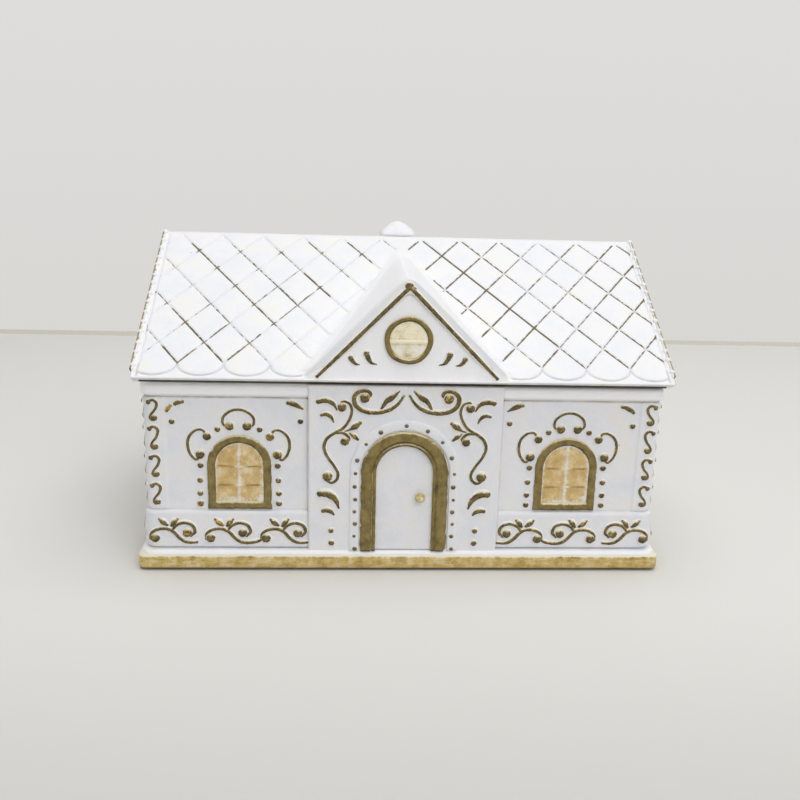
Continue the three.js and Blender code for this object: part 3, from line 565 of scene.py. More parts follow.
def makeReliefTree():
    # raised lines along drawn paths and low domes on single points, laid on a wall of the house
    tree, known = startTree("relief_on_a_wall", [
        ("Line rise", "Float", 0.82), ("Dome rise", "Float", 0.76), ("Flare", "Float", 0.16),
        ("Section points", "Int", 9), ("Steps between points", "Int", 5), ("Dome sides", "Int", 9),
        ("Wall distance", "Float", 0.0), ("Wall turn", "Float", 0.0)])
    addSteps(tree, known, [
        ("half", "named", "halfWidth"),
        ("dot", "named", "dotRadius"),
        ("path", "GeometryNodeMeshToCurve", "Geometry"),
        ("path", "GeometryNodeCurveSplineType", "path", {"spline_type": "CATMULL_ROM"}),
        ("path", "GeometryNodeSetSplineResolution", "path", {"Resolution": "Steps between points"}),
        ("path", "GeometryNodeSetCurveNormal", "path", {"mode": "Z_UP"}),
        ("arc", "GeometryNodeCurveArc", {
            "mode": "RADIUS", "Resolution": "Section points", "Radius": 1.0,
            "Start Angle": math.radians(-18), "Sweep Angle": math.radians(216)}),
        ("arc", "GeometryNodeSetSplineCyclic", "arc", {"Cyclic": True}),
        ("at", "GeometryNodeInputPosition"),
        ("across high above", "parts", "at"),
        ("level", "MAXIMUM", "high", 0.0),
        ("drop", "SUBTRACT", 1.0, "high"),
        ("drop", "POWER", "drop", 2.0),
        ("wide", "MULTIPLY_ADD", "drop", "Flare", 0.86),
        # a curve's upright normal points into the wall here, so the section is turned half round
        ("across", "MULTIPLY", "across", "wide"),
        ("across", "MULTIPLY", "across", -1.0),
        ("high", "MULTIPLY", "high", "Line rise"),
        ("high", "MULTIPLY", "high", -1.0),
        ("section", "store", "arc", "paint", "level"),
        ("shaped", "vector", "across", "high"),
        ("section", "GeometryNodeSetPosition", "section", {"Position": "shaped"}),
        ("lines", "GeometryNodeCurveToMesh", {
            "Curve": "path", "Profile Curve": "section", "Scale": "half", "Fill Caps": True}),
        ("ball", "GeometryNodeMeshUVSphere", {"Segments": "Dome sides", "Rings": 6, "Radius": 1.0}),
        ("above", "MAXIMUM", "above", 0.0),
        ("above", "POWER", "above", 0.6),
        ("ball", "store", "ball", "paint", "above"),
        ("stretch", "vector", 1.0, 1.0, "Dome rise"),
        ("size", "scaled", "stretch", "dot"),
        ("isDot", "FunctionNodeCompare", "dot", 0.0, {"data_type": "FLOAT", "operation": "GREATER_THAN"}),
        ("domes", "GeometryNodeInstanceOnPoints", "Geometry", {
            "Selection": "isDot", "Instance": "ball", "Scale": "size"}),
        ("domes", "realize", "domes"),
        ("both", "GeometryNodeJoinGeometry", "lines"),
        ("sine", "SINE", "Wall turn"),
        ("cosine", "COSINE", "Wall turn"),
        ("back", "MULTIPLY", "Wall distance", -1.0),
        ("moveX", "MULTIPLY", "Wall distance", "sine"),
        ("moveY", "MULTIPLY", "back", "cosine"),
        ("move", "vector", "moveX", "moveY"),
        ("turn", "vector", math.radians(90), 0.0, "Wall turn"),
        ("laid", "GeometryNodeTransform", "both", {"Translation": "move", "Rotation": "turn"}),
        ("laid", "GeometryNodeSetShadeSmooth", "laid"),
        ("normal", "GeometryNodeInputNormal"),
        ("east north facing", "parts", "normal"),
        ("laid", "store", "laid", "up", "facing"),
    ] + plainMesh)
    tree.links.new(known["domes"], known["both"].node.inputs[0])
    return tree


reliefTree = makeReliefTree()


def drawRelief(name, strokes, dots, wall, finish=reliefGold, settings=None, flank=1.3):
    # relief from strokes, each a path of (a, b) with widths along it, and dots of (a, b, radius, fleck);
    # flank is how much wider the white relief is than the gold on its crown
    points, edges, half, dotRadius, fleck = [], [], [], [], []
    for path, widths, *bright in strokes:
        for i, (a, b) in enumerate(path):
            at = i / (len(path) - 1) * (len(widths) - 1)
            k = min(int(at), len(widths) - 2)
            width = widths[k] + (widths[k + 1] - widths[k]) * (at - k)
            if i:
                edges.append((len(points) - 1, len(points)))
            points.append((a, b, 0))
            half.append(width / 2 * flank * mm)
            dotRadius.append(width / 2 * flank * mm if i in (0, len(path) - 1) else 0)   # rounded ends
            fleck.append(sum(bright))
    for a, b, radius, *bright in dots:
        points.append((a, b, 0))
        half.append(0)
        dotRadius.append(radius * (1 + (flank - 1) / 2) * mm)
        fleck.append(sum(bright))
    mesh = bpy.data.meshes.new(name)
    mesh.from_pydata((np.array(points, float) * mm).tolist(), edges, [])
    for label, values in (("halfWidth", half), ("dotRadius", dotRadius), ("fleck", fleck)):
        storeMark(mesh, label, values)
    given = {"Wall distance": wall[0] * mm, "Wall turn": math.radians(90 * wall[1]), "Finish": finish}
    return grow(addObject(name, mesh), reliefTree, {**given, **(settings or {})})


def mirror(strokes):
    return [([(-a, b) for a, b in stroke[0]],) + tuple(stroke[1:]) for stroke in strokes]


def mirrorDots(dots):
    return [(-dot[0],) + tuple(dot[1:]) for dot in dots]


def shift(strokes, da, db=0.0):
    return [([(a + da, b + db) for a, b in stroke[0]],) + tuple(stroke[1:]) for stroke in strokes]


def shiftDots(dots, da, db=0.0):
    return [(dot[0] + da, dot[1] + db) + tuple(dot[2:]) for dot in dots]


front = (house["wallY"], 0)
rightSide = (house["wallX"], 1)
back = (house["wallY"], 2)
leftSide = (house["wallX"], 3)


# box body: walls, dado, cornice, pilasters and bay cast in one

body = {
    "skirtRun": 3.5,           # skirt in front of the wall at the plinth
    "skirtLip": 1.3,
    "skirtTop": 8.1,
    "dadoBottom": 8.3,
    "dadoTop": 23.4,
    "dadoRound": 1.5,
    "corniceBottom": 67.2,
    "corniceRound": 2.3,
    "bayRound": 0.9,
    "pilasterOut": 0.45,
    "pilasterWidth": 7.4,
    "innerRadius": 2.5,
    "handmade": 0.10,          # uneven casting, mm
    "pocketHalf": 11.2,
    "pocketTop": 50.4,
    "pocketDepth": 1.4,
}


def spread(low, high, step, fine):
    # even places with finer ones round each of the given edges
    places = set(np.round(np.arange(low, high + 1e-6, step), 3)) | {low, high}
    for edge, reach, near in fine:
        places |= set(np.round(np.arange(edge - reach, edge + reach + 1e-6, near), 3))
    return sorted(p for p in places if low <= p <= high)


def bandShape(z, low, high, out, radius):
    # how far a band with rounded edges stands out at a height
    near = np.minimum(z - low, high - z)
    e = np.clip(radius - near, 0, radius)
    return np.where(near < 0, -9.0, out - (radius - np.sqrt(np.maximum(radius * radius - e * e, 0))))


def bodyStations():
    # places round the walls: x, y, outward x and y, place along the wall, which wall
    wx, wy, r = house["wallX"], house["wallY"], house["cornerRadius"]
    px, py, bay = wx - body["pilasterWidth"], wy - body["pilasterWidth"], house["bayHalfWidth"]
    across = spread(-(wx - r), wx - r, 2.4, [(-px, 0.8, 0.2), (px, 0.8, 0.2), (-bay, 1.8, 0.2),
                                             (bay, 1.8, 0.2)])
    deep = spread(-(wy - r), wy - r, 2.4, [(-py, 0.8, 0.2), (py, 0.8, 0.2)])
    sides = [("front", across, lambda t: (t, -wy), (0, -1)), ("right", deep, lambda t: (wx, t), (1, 0)),
             ("back", across[::-1], lambda t: (t, wy), (0, 1)),
             ("left", deep[::-1], lambda t: (-wx, t), (-1, 0))]
    corners = [(wx - r, -(wy - r), -90), (wx - r, wy - r, 0), (-(wx - r), wy - r, 90),
               (-(wx - r), -(wy - r), 180)]
    stations, turnSteps = [], 7
    for (side, places, at, out), (cx, cy, start) in zip(sides, corners):
        stations += [(*at(t), *out, t, side) for t in places]
        for i in range(1, turnSteps):
            angle = math.radians(start + 90 * i / turnSteps)
            stations.append((cx + r * math.cos(angle), cy + r * math.sin(angle),
                             math.cos(angle), math.sin(angle), 0.0, "corner"))
    return stations


def makeBody():
    wx, wy, rim, base = (house[k] for k in ("wallX", "wallY", "rimZ", "baseZ"))
    edge, bay, handmade = body["bayRound"], house["bayHalfWidth"], body["handmade"]
    foot, top, skirtTop = body["dadoTop"], body["corniceBottom"], body["skirtTop"]
    levels = spread(base, rim, 2.6, [(7.4, 0.9, 0.18), (8.9, 0.9, 0.18), (foot - 0.5, 1.1, 0.16),
                                     (top + 0.5, 1.0, 0.16), (rim - 0.7, 0.8, 0.14)])
    z = np.array(levels)
    skirt = np.where(z <= skirtTop, body["skirtLip"] + (body["skirtRun"] - body["skirtLip"]) * np.sqrt(
        np.clip(1 - ((z - base) / (skirtTop - base)) ** 2, 0, 1)), -9.0)
    dado = bandShape(z, body["dadoBottom"], foot, house["bandOut"], body["dadoRound"])
    cornice = bandShape(z, top, rim, house["bandOut"], body["corniceRound"])
    bands = softMax(np.maximum(np.maximum(dado, cornice), 0.0), skirt, 0.25)
    rows, crease = [], []
    stations = bodyStations()
    for out, height in zip(bands, levels):
        inPanel = smooth(foot - 0.2, foot + 0.6, height) * (1 - smooth(top - 0.6, top + 0.2, height))
        calm = smooth(base, base + 2, height) * (1 - smooth(71.5, 72.6, height))
        for x, y, ox, oy, t, side in stations:
            half = {"corner": 0, "front": wx, "back": wx, "left": wy, "right": wy}[side]
            place = half - body["pilasterWidth"]
            corner = smooth(place - 0.4, place + 0.4, abs(t)) if half else 1.0
            far = out + body["pilasterOut"] * corner * inPanel
            # painted shade in the creases under the cornice, along the dado and beside the bay, and under the
            # lid's edge; negative values paint a brighter coat as painted light on the cornice and the skirt
            dirt = 0.0
            if side == "front":
                inside = min(bay - abs(t), rim - height)
                if inside > -0.001:
                    e = max(edge - inside, 0)
                    raised = house["bayOut"] - (edge - math.sqrt(max(edge * edge - e * e, 0)))
                    far = float(softMax(far, raised, 0.3))
                dirt += 0.55 * bell(abs(t) - bay - 0.25, 0.35) * (height > skirtTop)
            if side != "front" or abs(t) >= bay:
                dirt += 1.45 * bell(height - top + 0.15, 0.32) + 0.35 * bell(height - foot - 0.1, 0.3)
                dirt += 0.25 * bell(height - body["dadoBottom"], 0.3)
                dirt -= smooth(67.8, 68.6, height) * (1 - smooth(72.2, 72.4, height))
            dirt += 0.9 * smooth(72.4, 72.65, height) - 0.8 * (1 - smooth(7.8, 8.1, height))
            uneven = waver(x + 1.3 * y, height, 9.0, 3.1) + 0.5 * waver(x - y, height, 2.6, 8.4)
            far = far + handmade * uneven * calm
            rows.append((x + ox * far, y + oy * far, height))
            crease.append(dirt)
    thick, floor, inner = house["wallThickness"], house["floorZ"], body["innerRadius"]
    inside = [(-0.2, rim), (-1.1, rim), (-thick + 0.5, rim), (-thick + 0.12, rim - 0.16), (-thick, rim - 0.6),
              (-thick, 40.0), (-thick, floor + 2.2), (-thick - 0.35, floor + 0.9),
              (-thick - 1.1, floor + 0.25), (-thick - 2.3, floor)]
    for out, height in inside:
        hx, hy = wx + out, wy + out
        kx, ky = hx - inner, hy - inner
        for x, y, ox, oy, t, side in stations:
            if side == "corner":
                rows.append((math.copysign(kx, x) + ox * inner, math.copysign(ky, y) + oy * inner, height))
            else:
                rows.append((math.copysign(hx, ox) if ox else min(max(t, -kx), kx),
                             math.copysign(hy, oy) if oy else min(max(t, -ky), ky), height))
            # painted shade along the rim's outer edge, under the lid
            crease.append(0.9 if out == -0.2 else 0.0)
    points, faces = loft(np.reshape(rows, (-1, len(stations), 3)))
    shell = makePiece("house_walls_cast", points, faces, bodyWhite, {"crease": crease})
    outline = archLine(body["pocketHalf"], house["footZ"] - 0.3, body["pocketTop"], 32, 1)
    tool = makePiece("pocket_tool", *loft([[(a, -y, b) for a, b in outline]
                                           for y in (bayY + 4, bayY - body["pocketDepth"])]), bodyWhite)
    return cut(shell, tool)


walls = makeBody()
walls.data.set_sharp_from_angle(angle=math.radians(50))
settle(walls, ["house_body"], "box")
print("box body made")


# plinth and its pads

slab = {"edge": 0.55, "handmade": 0.07}


def roundedLoop(hx, hy, r, step=2.5, turnSteps=6):
    # points round a rectangle with rounded corners, each with its outward direction
    loop = []
    corners = ((1, -1, -90, 1, 1), (1, 1, 0, -1, 1), (-1, 1, 90, -1, -1), (-1, -1, 180, 1, -1))
    for cx, cy, start, nextX, nextY in corners:
        for i in range(turnSteps + 1):
            angle = math.radians(start + 90 * i / turnSteps)
            loop.append((cx * (hx - r) + r * math.cos(angle), cy * (hy - r) + r * math.sin(angle),
                         math.cos(angle), math.sin(angle)))
        x0, y0, ox, oy = loop[-1]
        far = (x0, nextY * (hy - r)) if abs(ox) > 0.5 else (nextX * (hx - r), y0)
        count = int(max(abs(far[0] - x0), abs(far[1] - y0)) / step)
        for i in range(1, count):
            loop.append((x0 + (far[0] - x0) * i / count, y0 + (far[1] - y0) * i / count, ox, oy))
    return loop


def makePlinth():
    loop = roundedLoop(house["plinthWidth"] / 2, house["plinthDepth"] / 2, house["cornerRadius"])
    low, top, e = house["padThickness"], house["baseZ"], slab["edge"]
    profile = [(e + 0.5, low), (e, low), (0.16, low + 0.16), (0, low + e), (0, low + 1.3), (0, 3.0), (0, 4.3),
               (0, top - e), (0.16, top - 0.16), (e, top), (e + 2.0, top)]
    rows = []
    for inset, height in profile:
        row = []
        for x, y, ox, oy in loop:
            wave = slab["handmade"] * (1 + waver(x + y, height, 4.0, 5.0)) * smooth(low, low + 0.6, height)
            row.append((x - ox * (inset + wave), y - oy * (inset + wave), height))
        rows.append(row)
    return makePiece("plinth_slab", *loft(rows), slabGold, crisp=60)


settle(makePlinth(), ["plinth"], "box")


def makePad(name, node):
    low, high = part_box(node)
    cx, cy = (low[0] + high[0]) / 2 / mm, (low[1] + high[1]) / 2 / mm
    rows = []
    for radius, height in ((5.6, 0.0), (5.9, 0.12), (6.0, 0.35), (6.0, 0.75), (5.9, 1.0)):
        rows.append([(cx + (radius - 0.06 * (1 + math.sin(9 * a + cx))) * math.cos(a),
                      cy + (radius - 0.06 * (1 + math.sin(9 * a + cx))) * math.sin(a), height)
                     for a in around(48)])
    return makePiece(name, *loft(rows), feltGrey, crisp=50)


for corner in ("front_left", "front_right", "back_left", "back_right"):
    settle(makePad("felt_disc_" + corner, "felt_pad_" + corner), ["felt_pad_" + corner], "box")
print("plinth and pads made")


# door: leaf, knob, gold surround and studded hood

door = {
    "leafHalf": 10.9,
    "leafTop": 50.1,
    "leafBack": -1.1,          # from the bay's face
    "leafFace": -0.6,
    "surroundHalf": 16.4,
    "surroundTop": 55.6,
    "surroundBand": 5.8,
    "innerBead": 1.3,          # narrow moulding along the opening
    "nick": 0.3,               # ragged outer edge of the gold
    "hoodBand": 4.2,
    "studRadius": 0.84,
    "studSpacing": 5.05,
    "knobX": 6.0,
    "knobZ": 29.7,
}


def archBand(half, foot, top, profile, steps=40, legs=30, ragged=0.0, closed=False, seed=1.0):
    # a moulding along an arch: profile rows are (inset, height, paint), from its outer edge inwards
    rows, paint = [], []
    for inset, height, cover in profile:
        base = foot + (inset if closed else 0)
        line = archLine(half - inset, base, top - inset, steps, legs)
        if closed:
            width = half - inset
            count = 16
            line = line + [(-width + 2 * width * i / count, base) for i in range(1, count)]
        row = []
        for a, b in line:
            wave = ragged * waver(a, b, 2.2, seed) + 0.6 * ragged * waver(a, b, 0.9, seed + 4)
            wave -= 2.2 * ragged * float(smooth(0.4, 0.56, waver(a, b, 1.7, seed + 9)))   # small nicks
            wave *= 1 - 0.6 * inset / profile[-1][0]
            far = math.hypot(a, max(b - (top - half), 0)) or 1
            ux, uy = a / far, max(b - (top - half), 0) / far
            row.append((a + ux * wave, b + uy * wave, height))
        rows.append(row)
        paint += [cover(a, b) if callable(cover) else cover for a, b, c in row]
    rows = np.array(rows)
    points = rows.reshape(-1, 3)
    count, width = rows.shape[:2]
    faces = []
    last = width if closed else width - 1
    for i in range(count):
        for j in range(last):
            nextRow, nextCol = (i + 1) % count, (j + 1) % width
            faces.append((i * width + j, i * width + nextCol, nextRow * width + nextCol, nextRow * width + j))
    if not closed:
        faces.append(tuple(i * width for i in range(count)))
        faces.append(tuple(i * width + width - 1 for i in reversed(range(count))))
    return points, faces, paint


def makeSurround():
    half, top, band, bead = (door[k] for k in ("surroundHalf", "surroundTop", "surroundBand", "innerBead"))
    # the step along the opening shows white on the left leg only, and a scratch crosses the right one
    step = lambda a, b: 0.2 + 0.15 * waver(a, b, 2.0, 3.0) if a < -8 and b < 40 else 0.75
    scratch = lambda a, b: 0.3 if a > 9 and 38 < b < 43.5 else 1.0
    profile = [(0.15, -0.3, 0), (0.0, 0.05, 0.25), (0.12, 0.55, 0.7), (0.4, 0.98, 1), (0.9, 1.22, 1),
               (2.6, 1.3, 1), (3.0, 1.3, scratch), (3.3, 1.3, 1), (band - bead - 0.7, 1.24, 1),
               (band - bead - 0.32, 1.0, 0.8),
               (band - bead - 0.12, 0.62, step), (band - bead + 0.05, 0.7, 0.8), (band - bead + 0.3, 1.02, 1),
               (band - 0.62, 1.08, 1), (band - 0.25, 0.85, 0.8), (band, 0.3, 0.35), (band, -1.1, 0.1),
               (band - 0.6, -1.1, 0)]
    points, faces, paint = archBand(half, house["footZ"], top, profile, 44, 40, door["nick"])
    points = onWall(points, bayY)
    return makePiece("door_surround_gilded", points, faces, frameGold, {"paint": paint})


def makeHood():
    half = door["surroundHalf"] + door["hoodBand"]
    top = door["surroundTop"] + door["hoodBand"]
    profile = [(0.1, -0.3, 0), (0.0, 0.1, 0), (0.1, 0.4, 0), (0.35, 0.66, 0), (0.8, 0.8, 0),
               (door["hoodBand"] - 1.0, 0.8, 0), (door["hoodBand"] - 0.5, 0.62, 0),
               (door["hoodBand"] - 0.3, -0.3, 0)]
    points, faces, paint = archBand(half, house["footZ"], top, profile, 44, 30, 0.1, seed=6.0)
    return makePiece("door_hood_band", onWall(points, bayY), faces, bodyWhite)


def makeStuds():
    spring = door["surroundTop"] - door["surroundHalf"]
    reach = door["surroundHalf"] + 2.1
    places = [(0.2, door["surroundTop"] + 2.2)]
    for degrees in (62, 40, 18):
        for side in (-1, 1):
            a = math.radians(degrees + 2 * side)
            places.append((side * reach * math.cos(a), spring + reach * math.sin(a)))
    for i in range(7):
        for side in (-1, 1):
            places.append((side * (reach + 0.15 * math.sin(3.1 * i + side)),
                           spring - i * door["studSpacing"] + 0.2 * math.sin(5.3 * i)))
    dots = [(a, b, door["studRadius"] * (1 + 0.18 * math.sin(7.7 * i)), 0.0) for i,
            (a, b) in enumerate(places)]
    return drawRelief("door_hood_studs", [], dots, (bayY + 0.75, 0), darkGold,
                      {"Dome rise": 0.6, "Dome sides": 7}, 1.0)


def makeLeaf():
    half, foot, top = door["leafHalf"], house["footZ"], door["leafTop"]
    rows = []
    for inset, height in ((0.0, door["leafBack"]), (0.0, door["leafFace"] - 0.12), (0.12, door["leafFace"]),
                          (1.0, door["leafFace"]), (3.0, door["leafFace"]), (6.0, door["leafFace"]),
                          (9.0, door["leafFace"])):
        line = archLine(half - inset, foot + inset, top - inset, 24, 14)
        rows.append([(a, b, height + 0.035 * waver(a, b, 5.0, 2.0)) for a, b in line])
    points, faces = loft(rows)
    return makePiece("door_leaf_panel", onWall(points, bayY), faces, bodyWhite)


def makeKnob():
    profile = [(1.0, 0.0), (1.0, 0.35), (1.1, 0.45), (1.55, 0.62), (1.85, 0.95), (1.97, 1.35), (1.86, 1.72),
               (1.5, 2.05), (0.95, 2.27), (0.4, 2.37)]
    rows = []
    for radius, height in profile:
        rows.append([(door["knobX"] + radius * math.cos(a), door["knobZ"] + radius * math.sin(a),
                      height + 0.02) for a in around(32)])
    points, faces = loft(rows)
    return makePiece("door_knob_turned", onWall(points, bayY - 0.32), faces, knobGold)


settle(makeLeaf(), ["door_leaf"], "box")
settle(makeKnob(), ["door_knob"], "box")
settle(makeSurround(), ["door_surround"], "box")
settle(makeHood(), ["door_hood"], "box")
settle(makeStuds(), [], "box")
print("door made")


# windows

window = {
    "centreX": 61.6,
    "half": 11.9,
    "foot": 23.8,
    "top": 52.8,
    "band": 3.1,
    "muntinWidth": 0.62,
    "crossbars": (40.8, 33.4),
    "paneFace": 0.42,
}


def makeFrame(name, wall, centre, seed):
    profile = [(0.25, -0.3, 0), (0.0, 0.05, 0.25), (0.12, 0.5, 0.7), (0.45, 0.95, 1), (1.0, 1.02, 1),
               (2.0, 1.0, 1), (2.5, 0.9, 0.95), (2.85, 0.62, 0.75), (3.1, 0.2, 0.4), (3.15, -0.2, 0.1)]
    points, faces, paint = archBand(window["half"], window["foot"], window["top"], profile, 36, 20, 0.2,
                                    closed=True, seed=seed)
    points = np.array(points)
    points[:, 1] += 0.22 * np.array([waver(a * 2.0, seed, 3.0, seed) for a in points[:, 0]]) * (
        points[:, 1] < window["foot"] + 3)
    points[:, 1] = np.maximum(points[:, 1], window["foot"] - 0.2)
    points[:, 0] += centre
    return makePiece(name, onWall(points, *wall), faces, frameGold, {"paint": paint})


def makePane(name, wall, centre, seed):
    inset = window["band"] - 0.25
    half, foot, top = window["half"] - inset, window["foot"] + inset, window["top"] - inset
    spring = top - half
    across, up = 45, 78
    rows, bar, rim, groove = [], [], [], []
    for i in range(up + 1):
        b = foot + (top - 0.02 - foot) * i / up
        width = half if b < spring else math.sqrt(max(half * half - (b - spring) ** 2, 0.02))
        row = []
        for j in range(across + 1):
            a = width * (2 * j / across - 1)
            wobble = 0.25 * waver(a, b, 6.0, seed) + 0.1 * waver(a, b, 1.4, seed)
            upright = math.exp(-((a + wobble) / (window["muntinWidth"] * 0.75)) ** 2)
            level = 0.0
            for crossing in window["crossbars"]:
                level = max(level, math.exp(-((b - crossing + wobble) / 0.5) ** 2))
            edge = min(half - abs(a), b - foot, half - math.hypot(a, max(b - spring, 0)))
            border = math.exp(-(max(edge, 0) / 1.15) ** 2)
            height = window["paneFace"] + 0.42 * upright + 0.22 * level * (1 - 0.6 * border)
            height += 0.05 * waver(a, b, 2.0, seed + 2) - 0.16 * border
            row.append((a, b, height))
            patchy = 0.5 + 0.5 * waver(a * 0.6, b, 2.4, seed + 6)
            wash = math.exp(-((a + wobble) / 1.0) ** 2)
            bar.append(max(0.85 * wash * (0.45 + 0.7 * patchy), 0.8 * level * math.exp(-(a / 2.4) ** 2)))
            bright = 0.75 * smooth(half - 3.4, half - 0.4, a) + 0.7 * smooth(foot + 4.2, foot + 0.5, b)
            rim.append(max(border * (0.3 + 0.75 * patchy), float(bright) * (0.35 + 0.75 * patchy)))
            groove.append(level * (1 - math.exp(-(a / 2.6) ** 2)) * (1 - border))
        rows.append(row)
    face = np.array(rows).reshape(-1, 3)
    face[:, 0] += centre
    wide = across + 1
    faces = [(k, k + 1, k + wide + 1, k + wide) for i in range(up) for k in range(i * wide,
                                                                                  i * wide + across)]
    loop = [*range(wide), *(i * wide + across for i in range(1, up + 1)),
            *(up * wide + j for j in range(across - 1, -1, -1)), *(i * wide for i in range(up - 1, 0, -1))]
    points, faces, marks = closeBehind(face, faces, loop, -0.25, {"bar": bar, "rim": rim, "groove": groove})
    return makePiece(name, onWall(points, *wall), faces, paneWash, marks)


openings = []
for side, wall in (("front", front), ("back", back)):
    for hand, sign in (("left", -1), ("right", 1)):
        openings.append((f"{side}_{hand}", wall, sign * window["centreX"]))
for hand, wall in (("right", rightSide), ("left", leftSide)):
    openings.append((f"side_{hand}", wall, 0.0))
for number, (label, wall, centre) in enumerate(openings):
    settle(makeFrame("window_moulding_" + label, wall, centre, 1.0 + 2.3 * number),
           ["window_frame_" + label], "box")
    settle(makePane("window_fields_" + label, wall, centre, 5.0 + 1.9 * number),
           ["window_pane_" + label], "box")
print("windows made")


# gilded relief of the walls, drawn as strokes on each wall

crest = {"top": [([(-3.3, 55.6), (-5.6, 57.1), (-5.2, 60), (-2, 62.3), (2, 62.3), (5.2, 60), (5.6, 57.1),
                   (3.3, 55.6)], [1.1, 1.2, 1.3, 1.2, 1.1])],
         "topDots": [(-3.2, 56.3, 1.75), (3.2, 56.3, 1.75)],
         "side": [([(12, 52.9), (13.2, 54.7), (15.6, 54.5), (18, 52.2), (18.7, 48.7), (17.8, 45.3),
                    (15.8, 43.2), (14.4, 44.5)], [1.1, 1.2, 1.3, 1.2, 1.1])],
         "sideDots": [(11.5, 52.3, 1.65), (14.2, 45.3, 1.8)],
         "beads": [(7.7, 55.0, 1.15), (14.2, 41.0, 1.2), (14.5, 35.2, 1.15), (14.6, 30.0, 1.15),
                   (14.6, 26.0, 1.2)],}


def vineStrokes(pitch, count):
    # the running vine of the dado: each length hooks round a ball, throws a curl and two leaves, and dips
    strokes, dots = [], []
    for i in range(count):
        c = -40.4 - i * pitch
        wave = [(c - 13.2, 12.3), (c - 13.0, 14.2), (c - 11.4, 15.7), (c - 8.9, 16.4), (c - 6.6, 16.2),
                (c - 4.5, 15.0), (c - 2.6, 12.8), (c - 0.6, 11.3), (c + 1.6, 10.8), (c + 3.9, 10.9)]
        if i % 2:
            wave += [(c + 6.0, 11.3), (c + 7.6, 12.0)]
        strokes.append((wave, [1.2, 1.4, 1.6, 1.6, 1.7, 1.6, 1.2]))
        strokes.append(([(c - 5.0, 15.6), (c - 3.5, 17.7), (c - 0.5, 18.8), (c + 2.4, 17.8), (c + 3.4, 15.2),
                         (c + 1.9, 13.6)], [1.2, 1.5, 1.6, 1.5, 1.3]))
        dots.append((c + 0.5, 14.8, 1.8, 0.08 if i % 3 == 2 else 0.02))
        dots.append((c - 11.5, 12.7, 1.85, 0.0))
        strokes.append(([(c - 5.2, 17.6), (c - 4.5, 18.6), (c - 3.8, 19.5), (c - 3.2, 20.1)],
                        [1.2, 2.2, 2.1, 1.2], 0.08))
        strokes.append(([(c - 7.0, 17.8), (c - 7.8, 18.5), (c - 8.7, 19.3), (c - 9.5, 20.0)],
                        [1.2, 2.1, 2.2, 1.3], 0.14 if i % 3 == 1 else 0.03))
    return strokes, dots


bayScrolls = {"top": [([(-14.2, 68.4), (-13.2, 69.6), (-14.6, 70.9), (-17.4, 70.6), (-19.2, 68.4),
                        (-18.6, 65.4), (-15.6, 63.3), (-11.2, 62.7), (-6.6, 63.7), (-3.2, 66), (-1.2, 69)],
                       [1.2, 1.6, 1.8, 2, 2.1, 2, 1.7, 1]),
                      ([(-9.6, 63.4), (-7.6, 66.8), (-5.4, 68.6), (-2.8, 70.7)], [0.8, 2.1, 2.5, 0.7])],
              "topDots": [(-15.4, 68.2, 1.95, 0.1)],
              "side": [([(-24.2, 65), (-23.2, 66.8), (-20.9, 65.9), (-20, 63), (-21, 59.6), (-23.2, 56.6),
                         (-26.4, 54.7), (-29.1, 52.4), (-30.1, 49.2), (-29, 45.8), (-26.6, 42.3), (-25, 39.4),
                         (-25.2, 36.9), (-27.2, 35.4), (-29.4, 36.6)],
                        [1.1, 1.2, 1.2, 1.3, 1.5, 1.4, 1.3, 1.3, 1.4, 1.3]),
                       ([(-25.9, 54.9), (-23, 54.8), (-21, 53), (-21.3, 51.5)], [1.4, 1.4, 1.2]),
                       ([(-23, 55.2), (-20.6, 56.1), (-18.6, 57.5), (-17.1, 58.7)], [0.7, 1.1, 2.7, 1.6])],
              "sideDots": [(-23.6, 64.6, 1.75), (-28.8, 38.0, 1.95, 0.14), (-22.5, 51.6, 1.7)],
              "leafUpper": [([(-32.2, 66.6), (-29.5, 67.1), (-26.9, 65.9), (-25.6, 63.6)],
                             [1.8, 2.3, 1.7, 0.7])],
              "leafLower": [([(-31, 61.5), (-29.2, 61.9), (-27.5, 60.7), (-26.7, 58.9)],
                             [1.2, 1.8, 1.5, 0.6])],
              "commaUpper": [([(-31.4, 31.1), (-28.6, 31), (-25.8, 28.8), (-24.5, 25.3)],
                              [2.5, 3.1, 2.4, 0.8])],
              "commaLower": [([(-30.3, 24.2), (-28.8, 24.5), (-27.3, 23.8), (-26.4, 22.6)],
                              [1.7, 2.3, 1.9, 0.8])],
              "twig": [([(-20.6, 54.6), (-19.2, 53.7), (-17.7, 52.3)], [0.8, 2.0, 1.1])],
              "dots": [(-27.4, 16.2, 1.1, 0.1), (-27.2, 11.2, 1.2)],}


def place(name, nodes, strokes, dots, wall):
    return settle(drawRelief(name, strokes, dots, wall), nodes, "box")


